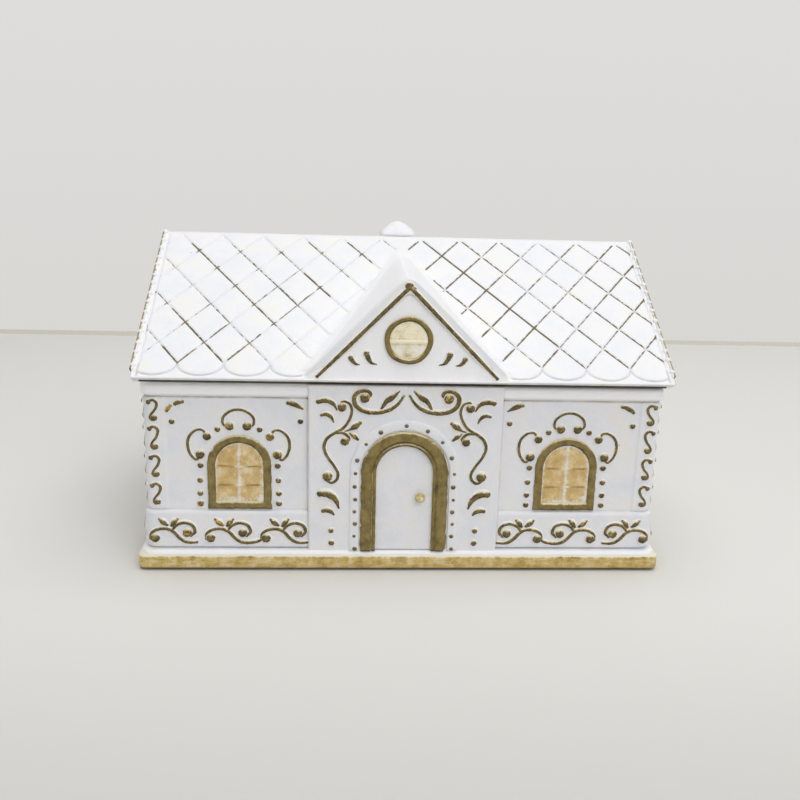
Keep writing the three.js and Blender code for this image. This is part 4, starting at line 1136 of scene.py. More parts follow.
for sign, hand in ((-1, "left"), (1, "right")):
    outer = mirror(crest["side"]) if sign < 0 else crest["side"]
    outerDots = mirrorDots(crest["sideDots"]) if sign < 0 else crest["sideDots"]
    inner = crest["side"] if sign < 0 else mirror(crest["side"])
    innerDots = crest["sideDots"] if sign < 0 else mirrorDots(crest["sideDots"])
    innerDots = [dot + (0.16,) for dot in innerDots] if sign < 0 else innerDots
    x = sign * window["centreX"]
    topDots = [dot + (0.1 if dot[0] < 0 else 0.0,) for dot in crest["topDots"]]
    place("crest_scroll_top_" + hand, ["crest_top_" + hand], shift(crest["top"], x), shiftDots(topDots, x),
          front)
    place("crest_scroll_outer_" + hand, ["crest_outer_" + hand], shift(outer, x), shiftDots(outerDots, x),
          front)
    place("crest_scroll_inner_" + hand, ["crest_inner_" + hand], shift(inner, x), shiftDots(innerDots, x),
          front)
    strokes, dots = vineStrokes(20.7, 3)
    place("dado_vine_scrolls_" + hand, ["dado_vine_" + hand], strokes if sign < 0 else mirror(strokes),
          dots if sign < 0 else mirrorDots(dots), (dadoY, 0))
    side = mirror if sign > 0 else (lambda strokes: strokes)
    sideDots = mirrorDots if sign > 0 else (lambda dots: dots)
    for part, node in (("top", "bay_scroll_top_"), ("side", "bay_scroll_side_")):
        place(node.replace("bay_scroll", "bay_scrollwork") + hand, [node + hand], side(bayScrolls[part]),
              sideDots(bayScrolls[part + "Dots"]), (bayY, 0))
    for part, node in (("leafUpper", "bay_leaf_upper_"), ("leafLower", "bay_leaf_lower_"),
                       ("commaUpper", "bay_comma_upper_"), ("commaLower", "bay_comma_lower_")):
        place(node + "painted_" + hand, [node + hand], side(bayScrolls[part]), [], (bayY, 0))
    place("bay_small_dots_" + hand, [], side(bayScrolls["twig"]), sideDots(bayScrolls["dots"]), (bayY, 0))


def cornerColumn(edge):
    # four small S scrolls one above the other on a corner pilaster, about the given place
    path = [(-1.6, 0.7), (0.3, 0), (1.6, 1.5), (1.0, 3.9), (-0.6, 6.1), (-1.0, 7.5), (-0.4, 8.4), (0.5, 8.4)]
    strokes, dots = [], []
    for top, foot in ((65.9, 58.9), (55.9, 48.0), (44.7, 37.3), (33.8, 26.4)):
        scale = (top - foot) / 7.9
        strokes.append(([(edge + a, top - b * scale) for a, b in path], [1.3, 1.4, 1.2, 1.0, 1.15, 1.1]))
        dots += [(edge + 0.5, foot + 0.3, 1.2), (edge - 1.4, top - 0.9, 0.9)]
    return strokes, dots


def panelCorners(sign):
    # the small leaves and dots in the upper corners of a wall panel
    if sign < 0:
        strokes = [([(-81.8, 65.3), (-83.0, 65.1), (-84.2, 64.5)], [1.5, 2.1, 1.5]),
                   ([(-86.1, 63.7), (-86.8, 62.8), (-87.4, 61.9)], [1.4, 1.9, 1.3], 0.3)]
    else:
        strokes = [([(81.3, 65.2), (82.9, 64.9), (84.5, 64.0), (85.6, 63.0)], [1.4, 2.1, 2.0, 1.2])]
    strokes.append(([(sign * 43.3, 65.3), (sign * 41.3, 65.0), (sign * 38.1, 63.0)], [1.6, 2.5, 0.7]))
    return strokes, [(sign * 85.7, 57.8, 1.15), (sign * 38.9, 58.3, 1.1)]


def windowBeads(x, lowLeft=0.0):
    dots = []
    for a, b, r in crest["beads"]:
        dots.append((x + a, b, r))
        dots.append((x - a, b, r * (1.12 if b < 27 and lowLeft else 1), lowLeft if b < 27 else 0.0))
    return dots


cornerX = 92.4
for sign, hand in ((-1, "left"), (1, "right")):
    strokes, dots = cornerColumn(-cornerX)
    if sign > 0:
        strokes, dots = mirror(strokes), mirrorDots(dots)
    place("corner_scrolls_front_" + hand, [], strokes, dots, (house["wallY"] + body["pilasterOut"] - 0.05, 0))
    leafy, leafDots = panelCorners(sign)
    beads = windowBeads(sign * window["centreX"], 0.2 if sign < 0 else 0.0)
    place("panel_leaves_and_beads_" + hand, [], leafy, leafDots + beads, front)
print("front relief made")


# roof lid: a grid over both slopes and the gable, with its lattice cut by geometry nodes

roof = {
    "tileHalf": 8.33,          # half a diamond across
    "tileRun": 10.6,           # half a diamond down the slope
    "firstCrossing": 1.3,
    "fieldEnd": 75.5,          # where the rounded tile ends begin
    "tipLength": 6.0,
    "borderAt": 97.0,
    "grooveHalf": 0.6,
    "grooveDepth": 0.5,
    "shoulder": 0.12,
    "tipStep": 0.3,
    "gableApex": 113.4,
    "gableSlope": 1.00263,
    "gableSoft": 2.0,
    "gableFillet": 4.0,
    "panelRecess": 0.55,
    "edgeRound": 0.9,
    "handmade": 0.12,
    "thickness": 5.0,
    "rimDepth": 4.0,
    "gableFoot": 75.0,         # where the gable's face begins
    "slopeFrom": 66.76,        # the plain slope begins this far from the ridge
    "eaveTurn": 68.164,        # and here it rounds into the eave
}

# gold paint left in the grooves of the left half: line, then from, to and how strong
leftRuns = {
    -5.5: [(-5.0, -0.36, 0.9), (-0.36, 1.19, 0.35)],
    -4.5: [(-4.06, -1.5, 0.6), (-1.5, -0.5, 0.95), (-0.5, 0.49, 0.3)],
    -3.5: [(-2.85, -1.48, 0.6), (-1.36, 0.04, 1.15)], -2.5: [(-2.23, -1.48, 0.95), (-1.48, -0.12, 0.6)],
    -1.5: [(-1.26, 0.04, 0.95)], -0.5: [(-0.77, 0.0, 0.6)],
    -6.5: [(-5.06, -3.15, 0.32), (-3.15, -1.46, 0.6), (-1.46, 0.41, 0.35)],
    -7.5: [(-4.17, -3.43, 0.6), (-3.27, -0.54, 0.95)], -8.5: [(-3.3, -2.47, 0.35), (-2.36, -1.01, 0.9)],
}
leftRises = {
    -1.5: [(-5.4, -4.4, 0.6), (-4.35, -3.4, 0.35), (-7.3, -6.6, 0.9), (-8.5, -7.8, 0.9)],
    -0.5: [(-5.3, -3.7, 0.75), (-7.4, -6.0, 0.9)], 0.5: [(-7.0, -6.5, 0.5)],
    -2.5: [(-7.3, -6.6, 0.35), (-8.25, -7.5, 0.35), (-8.9, -8.7, 0.5)],
}


def softAbs(x, width):
    return np.sqrt(x * x + width * width) - width * 0.35


def runPaint(line, along, table):
    paint = np.zeros_like(line)
    for place, runs in table.items():
        near = np.abs(line - place) < 0.12
        for low, high, strength in runs:
            ends = smooth(low - 0.02, low + 0.07, along) * (1 - smooth(high - 0.07, high + 0.02, along))
            paint = np.maximum(paint, near * ends * strength)
    return paint


def groovePaint(x, s, isFront):
    u = (x / roof["tileHalf"] + (s - roof["firstCrossing"]) / roof["tileRun"]) / 2
    v = (x / roof["tileHalf"] - (s - roof["firstCrossing"]) / roof["tileRun"]) / 2
    worn = np.maximum(runPaint(v, u, leftRuns), runPaint(u, v, leftRises))

    def stops(along):
        off = np.abs((along % 1) - 0.5)
        return smooth(0.03, 0.07, off)

    def wearOf(line, along, seed):
        return 0.8 + 0.22 * np.sin(line * 12.9 + np.floor(along - 0.5) * 7.3 + seed)

    onV = np.abs((v % 1) - 0.5) < 0.05
    onU = np.abs((u % 1) - 0.5) < 0.05
    full = np.maximum(onV * stops(u) * wearOf(np.floor(v), u, 0.4),
                      onU * stops(v) * wearOf(np.floor(u), v, 2.0))
    bold = (np.abs(v - 0.5) < 0.09) * smooth(0.7, 0.8, u) * (1 - smooth(6.4, 6.5, u)) * 1.3
    full = np.maximum(full, bold)
    paint = np.where(x < 0, worn, full) if isFront else full
    return paint * (s < roof["fieldEnd"] + 0.3)


def makeRoofGrid():
    k, ridge, rim, foot = roofPitch, house["ridgeZ"], house["rimZ"], roof["gableFoot"]
    start, turn = roof["slopeFrom"], roof["eaveTurn"]
    step, run = roof["tileHalf"] / 12, roof["tileRun"] / 12
    right = [i * step for i in range(140)] + [97.0, 97.6, 98.1]
    xs = np.array([-x for x in right[:0:-1]] + right)
    cosine = 1 / math.hypot(1, k)
    gableEdge = roof["gableApex"] - roof["gableSlope"] * softAbs(xs, roof["gableSoft"])
    mainAt = lambda y: ridge - k * np.sqrt(y * y + 0.64)
    rise = gableEdge - mainAt(house["gableY"])
    inGable = smooth(0.0, 2.5, rise)
    top = np.maximum(gableEdge, mainAt(start))
    tall = np.maximum(top - foot, 0.5)
    Y, Z, S, field, dirt = [], [], [], [], []
    zero = np.zeros_like(xs)

    def add(y, z, s=None, marked=0.0, mark=0.0):
        Y.append(y + zero)
        Z.append(z + zero)
        S.append((np.abs(y) / cosine if s is None else s) + zero)
        field.append(marked + zero)
        dirt.append(mark + zero)

    # painted shade: near black on the lid's inner wall in the gap, grey under its lip
    overWall = np.abs(xs) < 96.5
    add(-64.9, rim, mark=2.0 * overWall)
    add(-65.0, 73.6, mark=2.0 * overWall)
    add(-65.5, 74.05, mark=1.8 * overWall)
    for t in np.radians(np.linspace(270, 190, 6)):
        add(-67.55 + 0.95 * math.cos(t), 75.1 + 0.95 * math.sin(t), mark=1.0 if t > 4.1 else 0.45)
    for t in np.linspace(0.3, 1, 6):
        plain = math.radians(180 - 55.65 * t)
        ledge = math.radians(180 - 90 * t)
        y = (-67.6 + math.cos(plain)) * (1 - inGable) + (-67.9 + 0.7 * math.cos(ledge)) * inGable
        z = (74.77 + math.sin(plain)) * (1 - inGable) + (74.93 + 0.12 * math.sin(ledge)) * inGable
        add(y, z)
    below = np.array([0.5, 2.0, 3.4, 4.6, 5.5, 5.8, 6.1, 6.7])
    depths = [(b, np.minimum(1, tall / 14)) for b in below]
    levels = [top - b * f for b, f in depths][::-1]
    lowest = levels[0]
    lower = [foot + (lowest - foot) * t for t in (0.0, 0.12, 0.3, 0.5, 0.7, 0.88)]
    for i, z in enumerate(lower + levels):
        t = i / (len(lower) + len(levels) - 1)
        y0 = -turn + (turn - start) * t
        depth = (top - z) / np.minimum(1, tall / 14)
        recess = roof["panelRecess"] * smooth(5.6, 6.1, depth) * smooth(8, 16, tall)
        recess = recess * smooth(0.0, 1.4, z - foot)
        y = y0 * (1 - inGable) + (-house["gableY"] + recess) * inGable
        z = (ridge + k * y0) * (1 - inGable) + z * inGable
        # painted shadow under the chevron, and a brighter coat on the pediment panel as painted light
        mark = 1.2 * np.exp(-((depth - 5.9) / 0.3) ** 2) * inGable * (tall > 8)
        mark = mark - smooth(6.2, 6.8, depth) * inGable
        add(y, z, s=np.abs(y0) / cosine, marked=1 - inGable, mark=mark)

    def gableTop(y):
        far = gableEdge + np.maximum(0, (gableEdge - rim) / 40.6) * 0.0675 * (y + 67.6)
        return far - 3 * np.maximum(0, y + 3)

    def roofAt(y):
        return softMax(mainAt(y), gableTop(y), roof["gableFillet"])

    radius = 1.5
    for t in np.linspace(0.15, 1, 6):
        y0 = -start + 1.26 * t
        angle = math.radians(90 * t)
        yg = -house["gableY"] + radius * (1 - math.cos(angle))
        zg = gableTop(-66.0) - radius * 0.5 * (1 - math.sin(angle))
        y = y0 * (1 - inGable) + yg * inGable
        z = (ridge + k * y0) * (1 - inGable) + np.maximum(zg, ridge + k * yg) * inGable
        add(y, z, s=np.abs(y0) / cosine, marked=1 - inGable)
    downs = [roof["firstCrossing"] + j * run for j in range(88, -2, -1)]
    for s in downs:
        y = -s * cosine
        z = roofAt(y)
        lifted = z - mainAt(y)
        marked = (1 - smooth(0.05, 0.4, lifted)) * smooth(1.0, 2.2, s)
        # painted light: a brighter coat on the left half of the gable's slopes
        add(y, z, s=s, marked=marked, mark=-smooth(0.3, 2.0, lifted) * (xs < 0))
    add(0.0, ridge, s=0.0)
    for s in downs[::-1]:
        y = s * cosine
        add(y, mainAt(y), s=s, marked=smooth(1.0, 2.2, s))
    for t in np.linspace(0.2, 1, 8):
        y = 65.28 + (turn - 65.28) * t
        add(y, ridge - k * y, s=y / cosine, marked=1.0)
    for t in np.linspace(0.2, 1, 5):
        angle = math.radians(124.35 + 55.65 * t)
        add(67.6 - math.cos(angle), 74.77 + math.sin(angle))
    for t in np.radians(np.linspace(180, 270, 5)):
        add(67.8 - 0.8 * math.cos(t), 73.6 + 0.8 * math.sin(t))
    add(66.4, rim)
    Y, Z, S, field, dirt = (np.array(a) for a in (Y, Z, S, field, dirt))
    X = np.repeat(xs[None, :], len(Y), 0)
    # rounded edge along both rakes: the end columns shrink inwards a little
    grids = [X, Y, Z, S, field, dirt]
    ends = {1: [g[:, -1].copy() for g in grids], -1: [g[:, 0].copy() for g in grids]}
    for angle in (25, 50, 72, 90):
        t = math.radians(angle)
        shrink = roof["edgeRound"] * (1 - math.cos(t))
        for side in (1, -1):
            _, y, z, down, _, _ = ends[side]
            ty, tz = np.gradient(y), np.gradient(z)
            size = np.hypot(ty, tz) + 1e-9
            newZ = np.maximum(z - shrink * ty / size, rim)
            newZ[0] = newZ[-1] = rim
            fresh = [np.full(len(y), side * (98.1 + roof["edgeRound"] * math.sin(t))), y + shrink * tz / size,
                     newZ, down, np.zeros(len(y)), np.zeros(len(y))]
            grids = [np.hstack([g, f[:, None]] if side > 0 else [f[:, None], g]) for g,
                     f in zip(grids, fresh)]
    return grids


lattice = {                    # inputs of the lattice tree, with the roof's sizes in metres
    "Half diamond across": roof["tileHalf"] * mm,
    "Half diamond down": roof["tileRun"] * mm,
    "First crossing": roof["firstCrossing"] * mm,
    "Field end": roof["fieldEnd"] * mm,
    "Tip length": roof["tipLength"] * mm,
    "Border at": roof["borderAt"] * mm,
    "Groove half width": roof["grooveHalf"] * mm,
    "Groove depth": roof["grooveDepth"] * mm,
    "Shoulder": roof["shoulder"] * mm,
    "Tip step": roof["tipStep"] * mm,
}


def makeLatticeTree():
    # cuts V grooves along the diamond lines, the rounded tile ends and the border of a roof
    tree, known = startTree("lattice_roof", [(label, "Float", size) for label, size in lattice.items()])
    addSteps(tree, known, [
        ("x", "named", "across"),
        ("s", "named", "down"),
        ("field", "named", "field"),
        ("alongX", "DIVIDE", "x", "Half diamond across"),
        ("fromFirst", "SUBTRACT", "s", "First crossing"),
        ("alongS", "DIVIDE", "fromFirst", "Half diamond down"),
        ("sum", "ADD", "alongX", "alongS"),
        ("difference", "SUBTRACT", "alongX", "alongS"),
        ("u", "MULTIPLY", "sum", 0.5),               # counts the lines that run one way
        ("v", "MULTIPLY", "difference", 0.5),        # and the lines that cross them
        ("partU", "FLOORED_MODULO", "u", 1.0),
        ("partV", "FLOORED_MODULO", "v", 1.0),
        ("centredU", "SUBTRACT", "partU", 0.5),
        ("centredV", "SUBTRACT", "partV", 0.5),
        ("offU", "ABSOLUTE", "centredU"),
        ("offV", "ABSOLUTE", "centredV"),
        ("offLine", "MINIMUM", "offU", "offV"),
        ("squareX", "POWER", "Half diamond across", 2.0),
        ("squareS", "POWER", "Half diamond down", 2.0),
        ("squares", "ADD", "squareX", "squareS"),
        ("edge", "SQRT", "squares"),
        ("area", "MULTIPLY", "Half diamond across", "Half diamond down"),
        ("twoAreas", "MULTIPLY", "area", 2.0),
        ("lineGap", "DIVIDE", "twoAreas", "edge"),
        ("lines", "MULTIPLY", "offLine", "lineGap"),
        ("tile", "MULTIPLY", "alongX", 0.5),
        ("tilePart", "FLOORED_MODULO", "tile", 1.0),
        ("tileCentred", "SUBTRACT", "tilePart", 0.5),
        ("tipX", "MULTIPLY", "tileCentred", 2.0),
        ("pastField", "SUBTRACT", "s", "Field end"),
        ("tipS", "DIVIDE", "pastField", "Tip length"),
        ("tipXX", "MULTIPLY", "tipX", "tipX"),
        ("tipRound", "MULTIPLY_ADD", "tipS", "tipS", "tipXX"),
        ("ring", "SQRT", "tipRound"),                # 1 on the rounded end of a tile
        ("offRing", "SUBTRACT", "ring", 1.0),
        ("ringGap", "ABSOLUTE", "offRing"),
        ("tips", "MULTIPLY", "ringGap", "Tip length"),
        ("below", "GREATER_THAN", "s", "Field end"),
        ("above", "SUBTRACT", 1.0, "below"),
        ("linesAbove", "MULTIPLY", "lines", "above"),
        ("inside", "MULTIPLY_ADD", "tips", "below", "linesAbove"),
        ("acrossSize", "ABSOLUTE", "x"),
        ("fromBorder", "SUBTRACT", "Border at", "acrossSize"),
        ("outside", "LESS_THAN", "fromBorder", 0.0),
        ("fieldOnly", "ADD", "inside", "outside"),
        ("borderGap", "ABSOLUTE", "fromBorder"),
        ("near", "MINIMUM", "fieldOnly", "borderGap"),
        ("t", "DIVIDE", "near", "Groove half width"),
        ("t", "MINIMUM", "t", 1.0),
        ("tt", "MULTIPLY", "t", "t"),
        ("bend", "MULTIPLY_ADD", "t", -2.0, 3.0),
        ("rise", "MULTIPLY", "tt", "bend"),
        ("fall", "SUBTRACT", 1.0, "rise"),
        ("groove", "MULTIPLY", "fall", "Groove depth"),
        ("faded", "DIVIDE", "near", -0.0015),
        ("shoulder", "EXPONENT", "faded"),
        ("swell", "MULTIPLY", "shoulder", "Shoulder"),
        ("beyond", "DIVIDE", "offRing", 0.1),
        ("beyond", "MINIMUM", "beyond", 1.0),
        ("beyond", "MAXIMUM", "beyond", 0.0),
        ("beyond", "MULTIPLY", "beyond", "below"),
        ("step", "MULTIPLY", "beyond", "Tip step"),
        ("depth", "ADD", "groove", "swell"),
        ("depth", "ADD", "depth", "step"),
        ("depth", "MULTIPLY", "depth", "field"),
        ("inwards", "MULTIPLY", "depth", -1.0),
        ("unmarked", "SUBTRACT", 1.0, "field"),
        ("hidden", "MULTIPLY", "unmarked", 10.0),
        ("away", "MULTIPLY_ADD", "near", 1000.0, "hidden"),
        ("normal", "GeometryNodeInputNormal"),
        ("push", "scaled", "normal", "inwards"),
        ("shaped", "GeometryNodeSetPosition", "Geometry", {"Offset": "push"}),
        ("laid", "store", "shaped", "seam", "away"),
    ] + plainMesh)
    return tree


def prism(name, outline, low, high, axis="x"):
    # a closed block with the given outline, from low to high along x, y or z
    rows = []
    for along in (low, high):
        rows.append([{"x": (along, a, b), "y": (a, along, b), "z": (a, b, along)}[axis] for a, b in outline])
    return makePiece(name, *loft(rows), lidWhite)


def makeRoof():
    X, Y, Z, S, field, dirt = makeRoofGrid()
    count, width = X.shape
    uneven = np.array([[roof["handmade"] * waver(x + 0.4 * y, s, 11.0, 2.0) for x, y, s in zip(a, b, c)]
                       for a, b, c in zip(X, Y, S)])
    Z = Z + uneven * (Z > 76.5) * (np.abs(X) < 98)
    isFront = Y < 0
    gilt = np.where(isFront, groovePaint(X, S, True), groovePaint(X, S, False)) * (field > 0.3)
    i0 = int(np.argmin(np.abs(X[0])))
    rowS = np.round((S[:, 0] - roof["firstCrossing"]) / (roof["tileRun"] / 12)).astype(int)
    faces = []
    for i in range(count - 1):
        for j in range(width - 1):
            k = i * width + j
            a, b, c, d = k, k + 1, k + width + 1, k + width
            flip = False
            if S[i, j] > 2 and field[i, j] > 0.1 and abs(X[i, j]) < 96.2:
                m, n = j - i0, rowS[i]
                step = rowS[i + 1] - n
                # the quad's diagonal follows the nearer of the two families of lines
                first, second = (m + n) % 24, (m - n) % 24
                nearU, nearV = abs(first + 0.5 * (1 + step) - 12), abs(second + 0.5 * (1 - step) - 12)
                flip = (nearU < nearV) == (step < 0)
                faces += [(a, b, c), (a, c, d)] if flip else [(a, b, d), (b, c, d)]
            else:
                faces.append((a, b, c, d))
    faces.append(tuple(i * width for i in reversed(range(count))))
    faces.append(tuple(i * width + width - 1 for i in range(count)))
    faces.append(tuple(range(width)) + tuple((count - 1) * width + j for j in reversed(range(width))))
    points = np.stack([X, Y, Z], 2).reshape(-1, 3)
    piece = makePiece("roof_lid_cast", points, faces, lidWhite, {
        "across": X.ravel() * mm, "down": S.ravel() * mm, "field": field.ravel(), "crease": dirt.ravel(),
        "gilt": gilt.ravel()})
    grow(piece, makeLatticeTree(), {"Finish": lidWhite})
    inner = house["wallX"] - house["wallThickness"] - 0.7
    deep = house["wallY"] - house["wallThickness"] - 0.7
    rim = [(x, y) for x, y, _, _ in roundedLoop(inner, deep, 3.0)]
    cut(piece, prism("rim_block", rim, house["rimZ"] - roof["rimDepth"], house["rimZ"] + 2, "z"), "UNION")
    fall = roof["thickness"] * math.hypot(1, roofPitch)
    half = deep - 3
    high = house["ridgeZ"] - fall
    hollow = [(-half, 60), (half, 60), (half, high - roofPitch * half), (0, high),
              (-half, high - roofPitch * half)]
    cut(piece, prism("hollow_block", hollow, -(inner - 3), inner - 3))
    arch = [(-24, 60), (24, 60), (24, 78.5), (0, 103.5), (-24, 78.5)]
    cut(piece, prism("gable_hollow_block", arch, -half, -15, "y"))
    inset, foot = 6.5, 76.3
    peak = house["ridgeZ"] - inset * math.hypot(1, roofPitch)
    base = (peak - foot) / roofPitch
    for side in (1, -1):
        cut(piece, prism("end_pocket", [(-base, foot), (base, foot), (0, peak)], side * 97.0, side * 101.0))
    return piece


lid = makeRoof()
lid.data.set_sharp_from_angle(angle=math.radians(42))
settle(lid, ["roof_lid"], "lid")
print("roof made:", len(lid.data.polygons), "faces")


chimneyLook = {"y": 34.0, "halfX": 6.4, "halfY": 5.4, "topZ": 120.4, "capHalfX": 8.5, "capHalfY": 7.5,
               "capTop": 127.1}


def squareLoop(hx, hy, power, count=40):
    loop = []
    for t in around(count):
        c, s = math.cos(t), math.sin(t)
        loop.append((math.copysign(hx * abs(c) ** (2 / power), c),
                     math.copysign(hy * abs(s) ** (2 / power), s)))
    return loop


def makeChimney():
    rows = []
    for inset, lift in ((0.0, None), (0.0, 0.33), (0.0, 0.66), (0.1, 0.95), (0.5, 1.0)):
        row = []
        for x, y in squareLoop(chimneyLook["halfX"] - inset, chimneyLook["halfY"] - inset, 8):
            foot = house["ridgeZ"] - roofPitch * (chimneyLook["y"] + y) + 0.4
            z = foot if lift is None else foot + (chimneyLook["topZ"] - foot) * lift
            wave = 1 + 0.012 * waver(x + y, z, 4.0, 3.0)
            row.append((x * wave, chimneyLook["y"] + y * wave, z))
        rows.append(row)
    return makePiece("chimney_shaft_cast", *loft(rows), trimWhite, crisp=50)


def makeCap():
    rows = []
    base, top = chimneyLook["topZ"] + 0.25, chimneyLook["capTop"]
    profile = [(0.86, 0.0), (0.97, 0.03), (1.0, 0.09), (0.98, 0.18), (0.9, 0.32), (0.79, 0.46), (0.66, 0.6),
               (0.52, 0.73), (0.38, 0.85), (0.24, 0.94), (0.1, 0.99)]
    for reach, lift in profile:
        power = 2 + 3 * (1 - lift) ** 2
        row = []
        for x, y in squareLoop(chimneyLook["capHalfX"] * reach, chimneyLook["capHalfY"] * reach, power, 56):
            drip = 1 + 0.02 * math.sin(3 * math.atan2(y, x) + 1) * (1 - lift)
            row.append((x * drip * 0.98, chimneyLook["y"] + y * drip * 0.98, base + (top - base) * lift))
        rows.append(row)
    return makePiece("chimney_snow_cap", *loft(rows), trimWhite)


settle(makeChimney(), ["chimney"], "lid")
settle(makeCap(), ["chimney_cap"], "lid")


# gable front: the chevron moulding and the round window
gableFace = (house["gableY"] + 0.02, 0)
trim = {"apex": 109.0, "foot": (32.6, 76.3), "oculusZ": 89.9, "oculusOuter": 8.8, "paneRadius": 6.85}


def makeGableTrim():
    strokes = []
    for sign in (-1, 1):
        path = [(sign * trim["foot"][0] * t, trim["apex"] + (trim["foot"][1] - trim["apex"]) * t)
                for t in np.linspace(0, 1, 9)]
        strokes.append((path, [1.7, 1.9, 1.7, 1.6, 1.8, 1.6, 1.3]))
    return drawRelief("gable_chevron_gilded", strokes, [(-0.3, 109.2, 1.6), (1.2, 108.2, 1.1)], gableFace,
                      settings={"Dome rise": 0.5, "Line rise": 0.79})


def makeOculusRing():
    outer = trim["oculusOuter"]
    profile = [(0.15, 0.05, 0.1), (0.0, 0.2, 0.2), (0.12, 0.55, 0.75), (0.45, 0.85, 1), (1.0, 0.95, 1),
               (1.4, 0.92, 1), (1.65, 0.78, 1), (1.85, 0.55, 0.9), (2.0, 0.25, 0.6), (2.0, 0.05, 0.3)]
    rows, paint = [], []
    for inset, height, cover in profile:
        rows.append([((outer - inset) * (1 + 0.012 * math.sin(5 * t + 1)) * math.cos(t),
                      trim["oculusZ"] + (outer - inset) * (1 + 0.012 * math.sin(5 * t + 1)) * math.sin(t),
                      height) for t in around(96)])
        paint += [cover] * 96
    rows.append(rows[0])
    points, faces = loft(rows, capped=False)
    return makePiece("oculus_ring_gilded", onWall(points, *gableFace), faces, frameGold,
                     {"paint": paint + paint[:96]})


def makeOculusPane():
    radius, centre = trim["paneRadius"], trim["oculusZ"]
    rings, sides = 22, 72
    points, bar, rim, groove = [(0, centre, 0.65)], [1.0], [0.0], [0.0]
    for i in range(1, rings + 1):
        r = radius * i / rings
        for t in around(sides):
            a, b = r * math.cos(t), r * math.sin(t)
            level = math.exp(-((b + 0.4) / 0.75) ** 2)
            edge = math.exp(-((radius - r) / 0.9) ** 2)
            points.append((a, centre + b, 0.42 + 0.38 * level + 0.04 * waver(a, b, 2.0, 7.0) - 0.1 * edge))
            bar.append(max(level, 0.62 * (b > 0.6)))
            rim.append(0.8 * edge * (b < -2))
            smudge = math.exp(-((a + 3.0) ** 2 + (b - 2.2) ** 2) / 3.0)
            groove.append(0.5 * math.exp(-((b + 1.5) / 0.4) ** 2) + 0.5 * math.exp(-((b - 0.75) / 0.35) ** 2)
                          + 0.6 * smudge)
    faces = [(0, 1 + j, 1 + (j + 1) % sides) for j in range(sides)]
    for i in range(rings - 1):
        for j in range(sides):
            k, n = 1 + i * sides + j, 1 + i * sides + (j + 1) % sides
            faces.append((k, k + sides, n + sides, n))
    last = 1 + (rings - 1) * sides
    points, faces, marks = closeBehind(points, faces, range(last, last + sides), 0.05,
                                       {"bar": bar, "rim": rim, "groove": groove})
    return makePiece("oculus_field", onWall(points, *gableFace), faces, oculusWash, marks)


settle(makeGableTrim(), ["gable_trim"], "lid")
settle(makeOculusRing(), ["oculus_frame"], "lid")
settle(makeOculusPane(), ["oculus_pane"], "lid")

pedimentLeaves = {
    "inner": [([(-15.0, 84.7), (-14.3, 83), (-13.2, 81.5), (-11.4, 80.9)], [2.2, 2.0, 1.3, 0.5])],
    "outer": [([(-20.6, 83.1), (-19.9, 81.9), (-18.8, 81.0), (-17.6, 80.7)], [1.9, 1.7, 1.2, 0.5])],
}
for part in ("inner", "outer"):
    for sign, hand in ((-1, "left"), (1, "right")):
        strokes = pedimentLeaves[part] if sign < 0 else mirror(pedimentLeaves[part])
        leaf = drawRelief(f"pediment_comma_{part}_{hand}", strokes, [],
                          (house["gableY"] - roof["panelRecess"] + 0.05, 0))
        settle(leaf, [f"pediment_leaf_{part}_{hand}"], "lid")

rakeStrip = {                  # the gilded strip on a gable end, with a row of white beads
    "line": "rake_strip_",
    "row": "rake_beads_",
    "nodes": ["rake_trim_"],
    "x": house["lidHalfWidth"],
    "below": 3.5,
    "reach": 60.0,
    "points": 13,
    "width": 3.6,
    "finish": frameGold,
    "shape": {"Line rise": 0.22, "Flare": 0.05, "Dome rise": 0.22},
    "radius": 1.35,
    "uneven": 0.08,
    "spacing": 2.9,
    "stray": 0.0,
    "beadOut": 0.12,
    "beadRise": 0.58,
}
# the cord takes the dark gold partly as painted shade, so that the crevices between its beads read dark
rakeCord = dict(rakeStrip, line="rake_cord_", row="rake_edge_beads_", nodes=[], x=98.75, below=0.35,
                reach=65.0, points=15, width=2.1, finish=darkGold, shape={"Line rise": 1.0, "Flare": 0.0},
                radius=1.2, uneven=0.05, spacing=4.5, stray=0.4, beadOut=0.0, beadRise=0.96)


def makeRake(look, hand, turn):
    # a line up both slopes of a gable end with a row of beads, which leaves gold showing between them
    top = house["ridgeZ"] - look["below"] * math.hypot(1, roofPitch)
    strokes = [([(sign * d, top - roofPitch * d) for d in np.linspace(0, look["reach"], look["points"])],
                [look["width"]] * 3) for sign in (-1, 1)]
    line = drawRelief(look["line"] + hand, strokes, [], (look["x"], turn), look["finish"], look["shape"], 1.0)
    settle(line, [node + hand for node in look["nodes"]], "lid")
    count = int(look["reach"] / look["spacing"])
    beads = []
    for i in range(-count, count + 1):
        d = i * look["spacing"] + look["stray"] * math.sin(9.1 * i)
        beads.append((d, top - roofPitch * abs(d), look["radius"] * (1 + look["uneven"] * math.sin(4.7 * i))))
    row = drawRelief(look["row"] + hand, [], beads, (look["x"] + look["beadOut"], turn), trimWhite,
                     {"Dome rise": look["beadRise"], "Dome sides": 8}, 1.0)
    settle(row, [], "lid")


for look in (rakeStrip, rakeCord):
    for hand, turn in (("right", 1), ("left", 3)):
        makeRake(look, hand, turn)
print("gable, chimney and rakes made")


# the hidden walls carry the same family of ornament

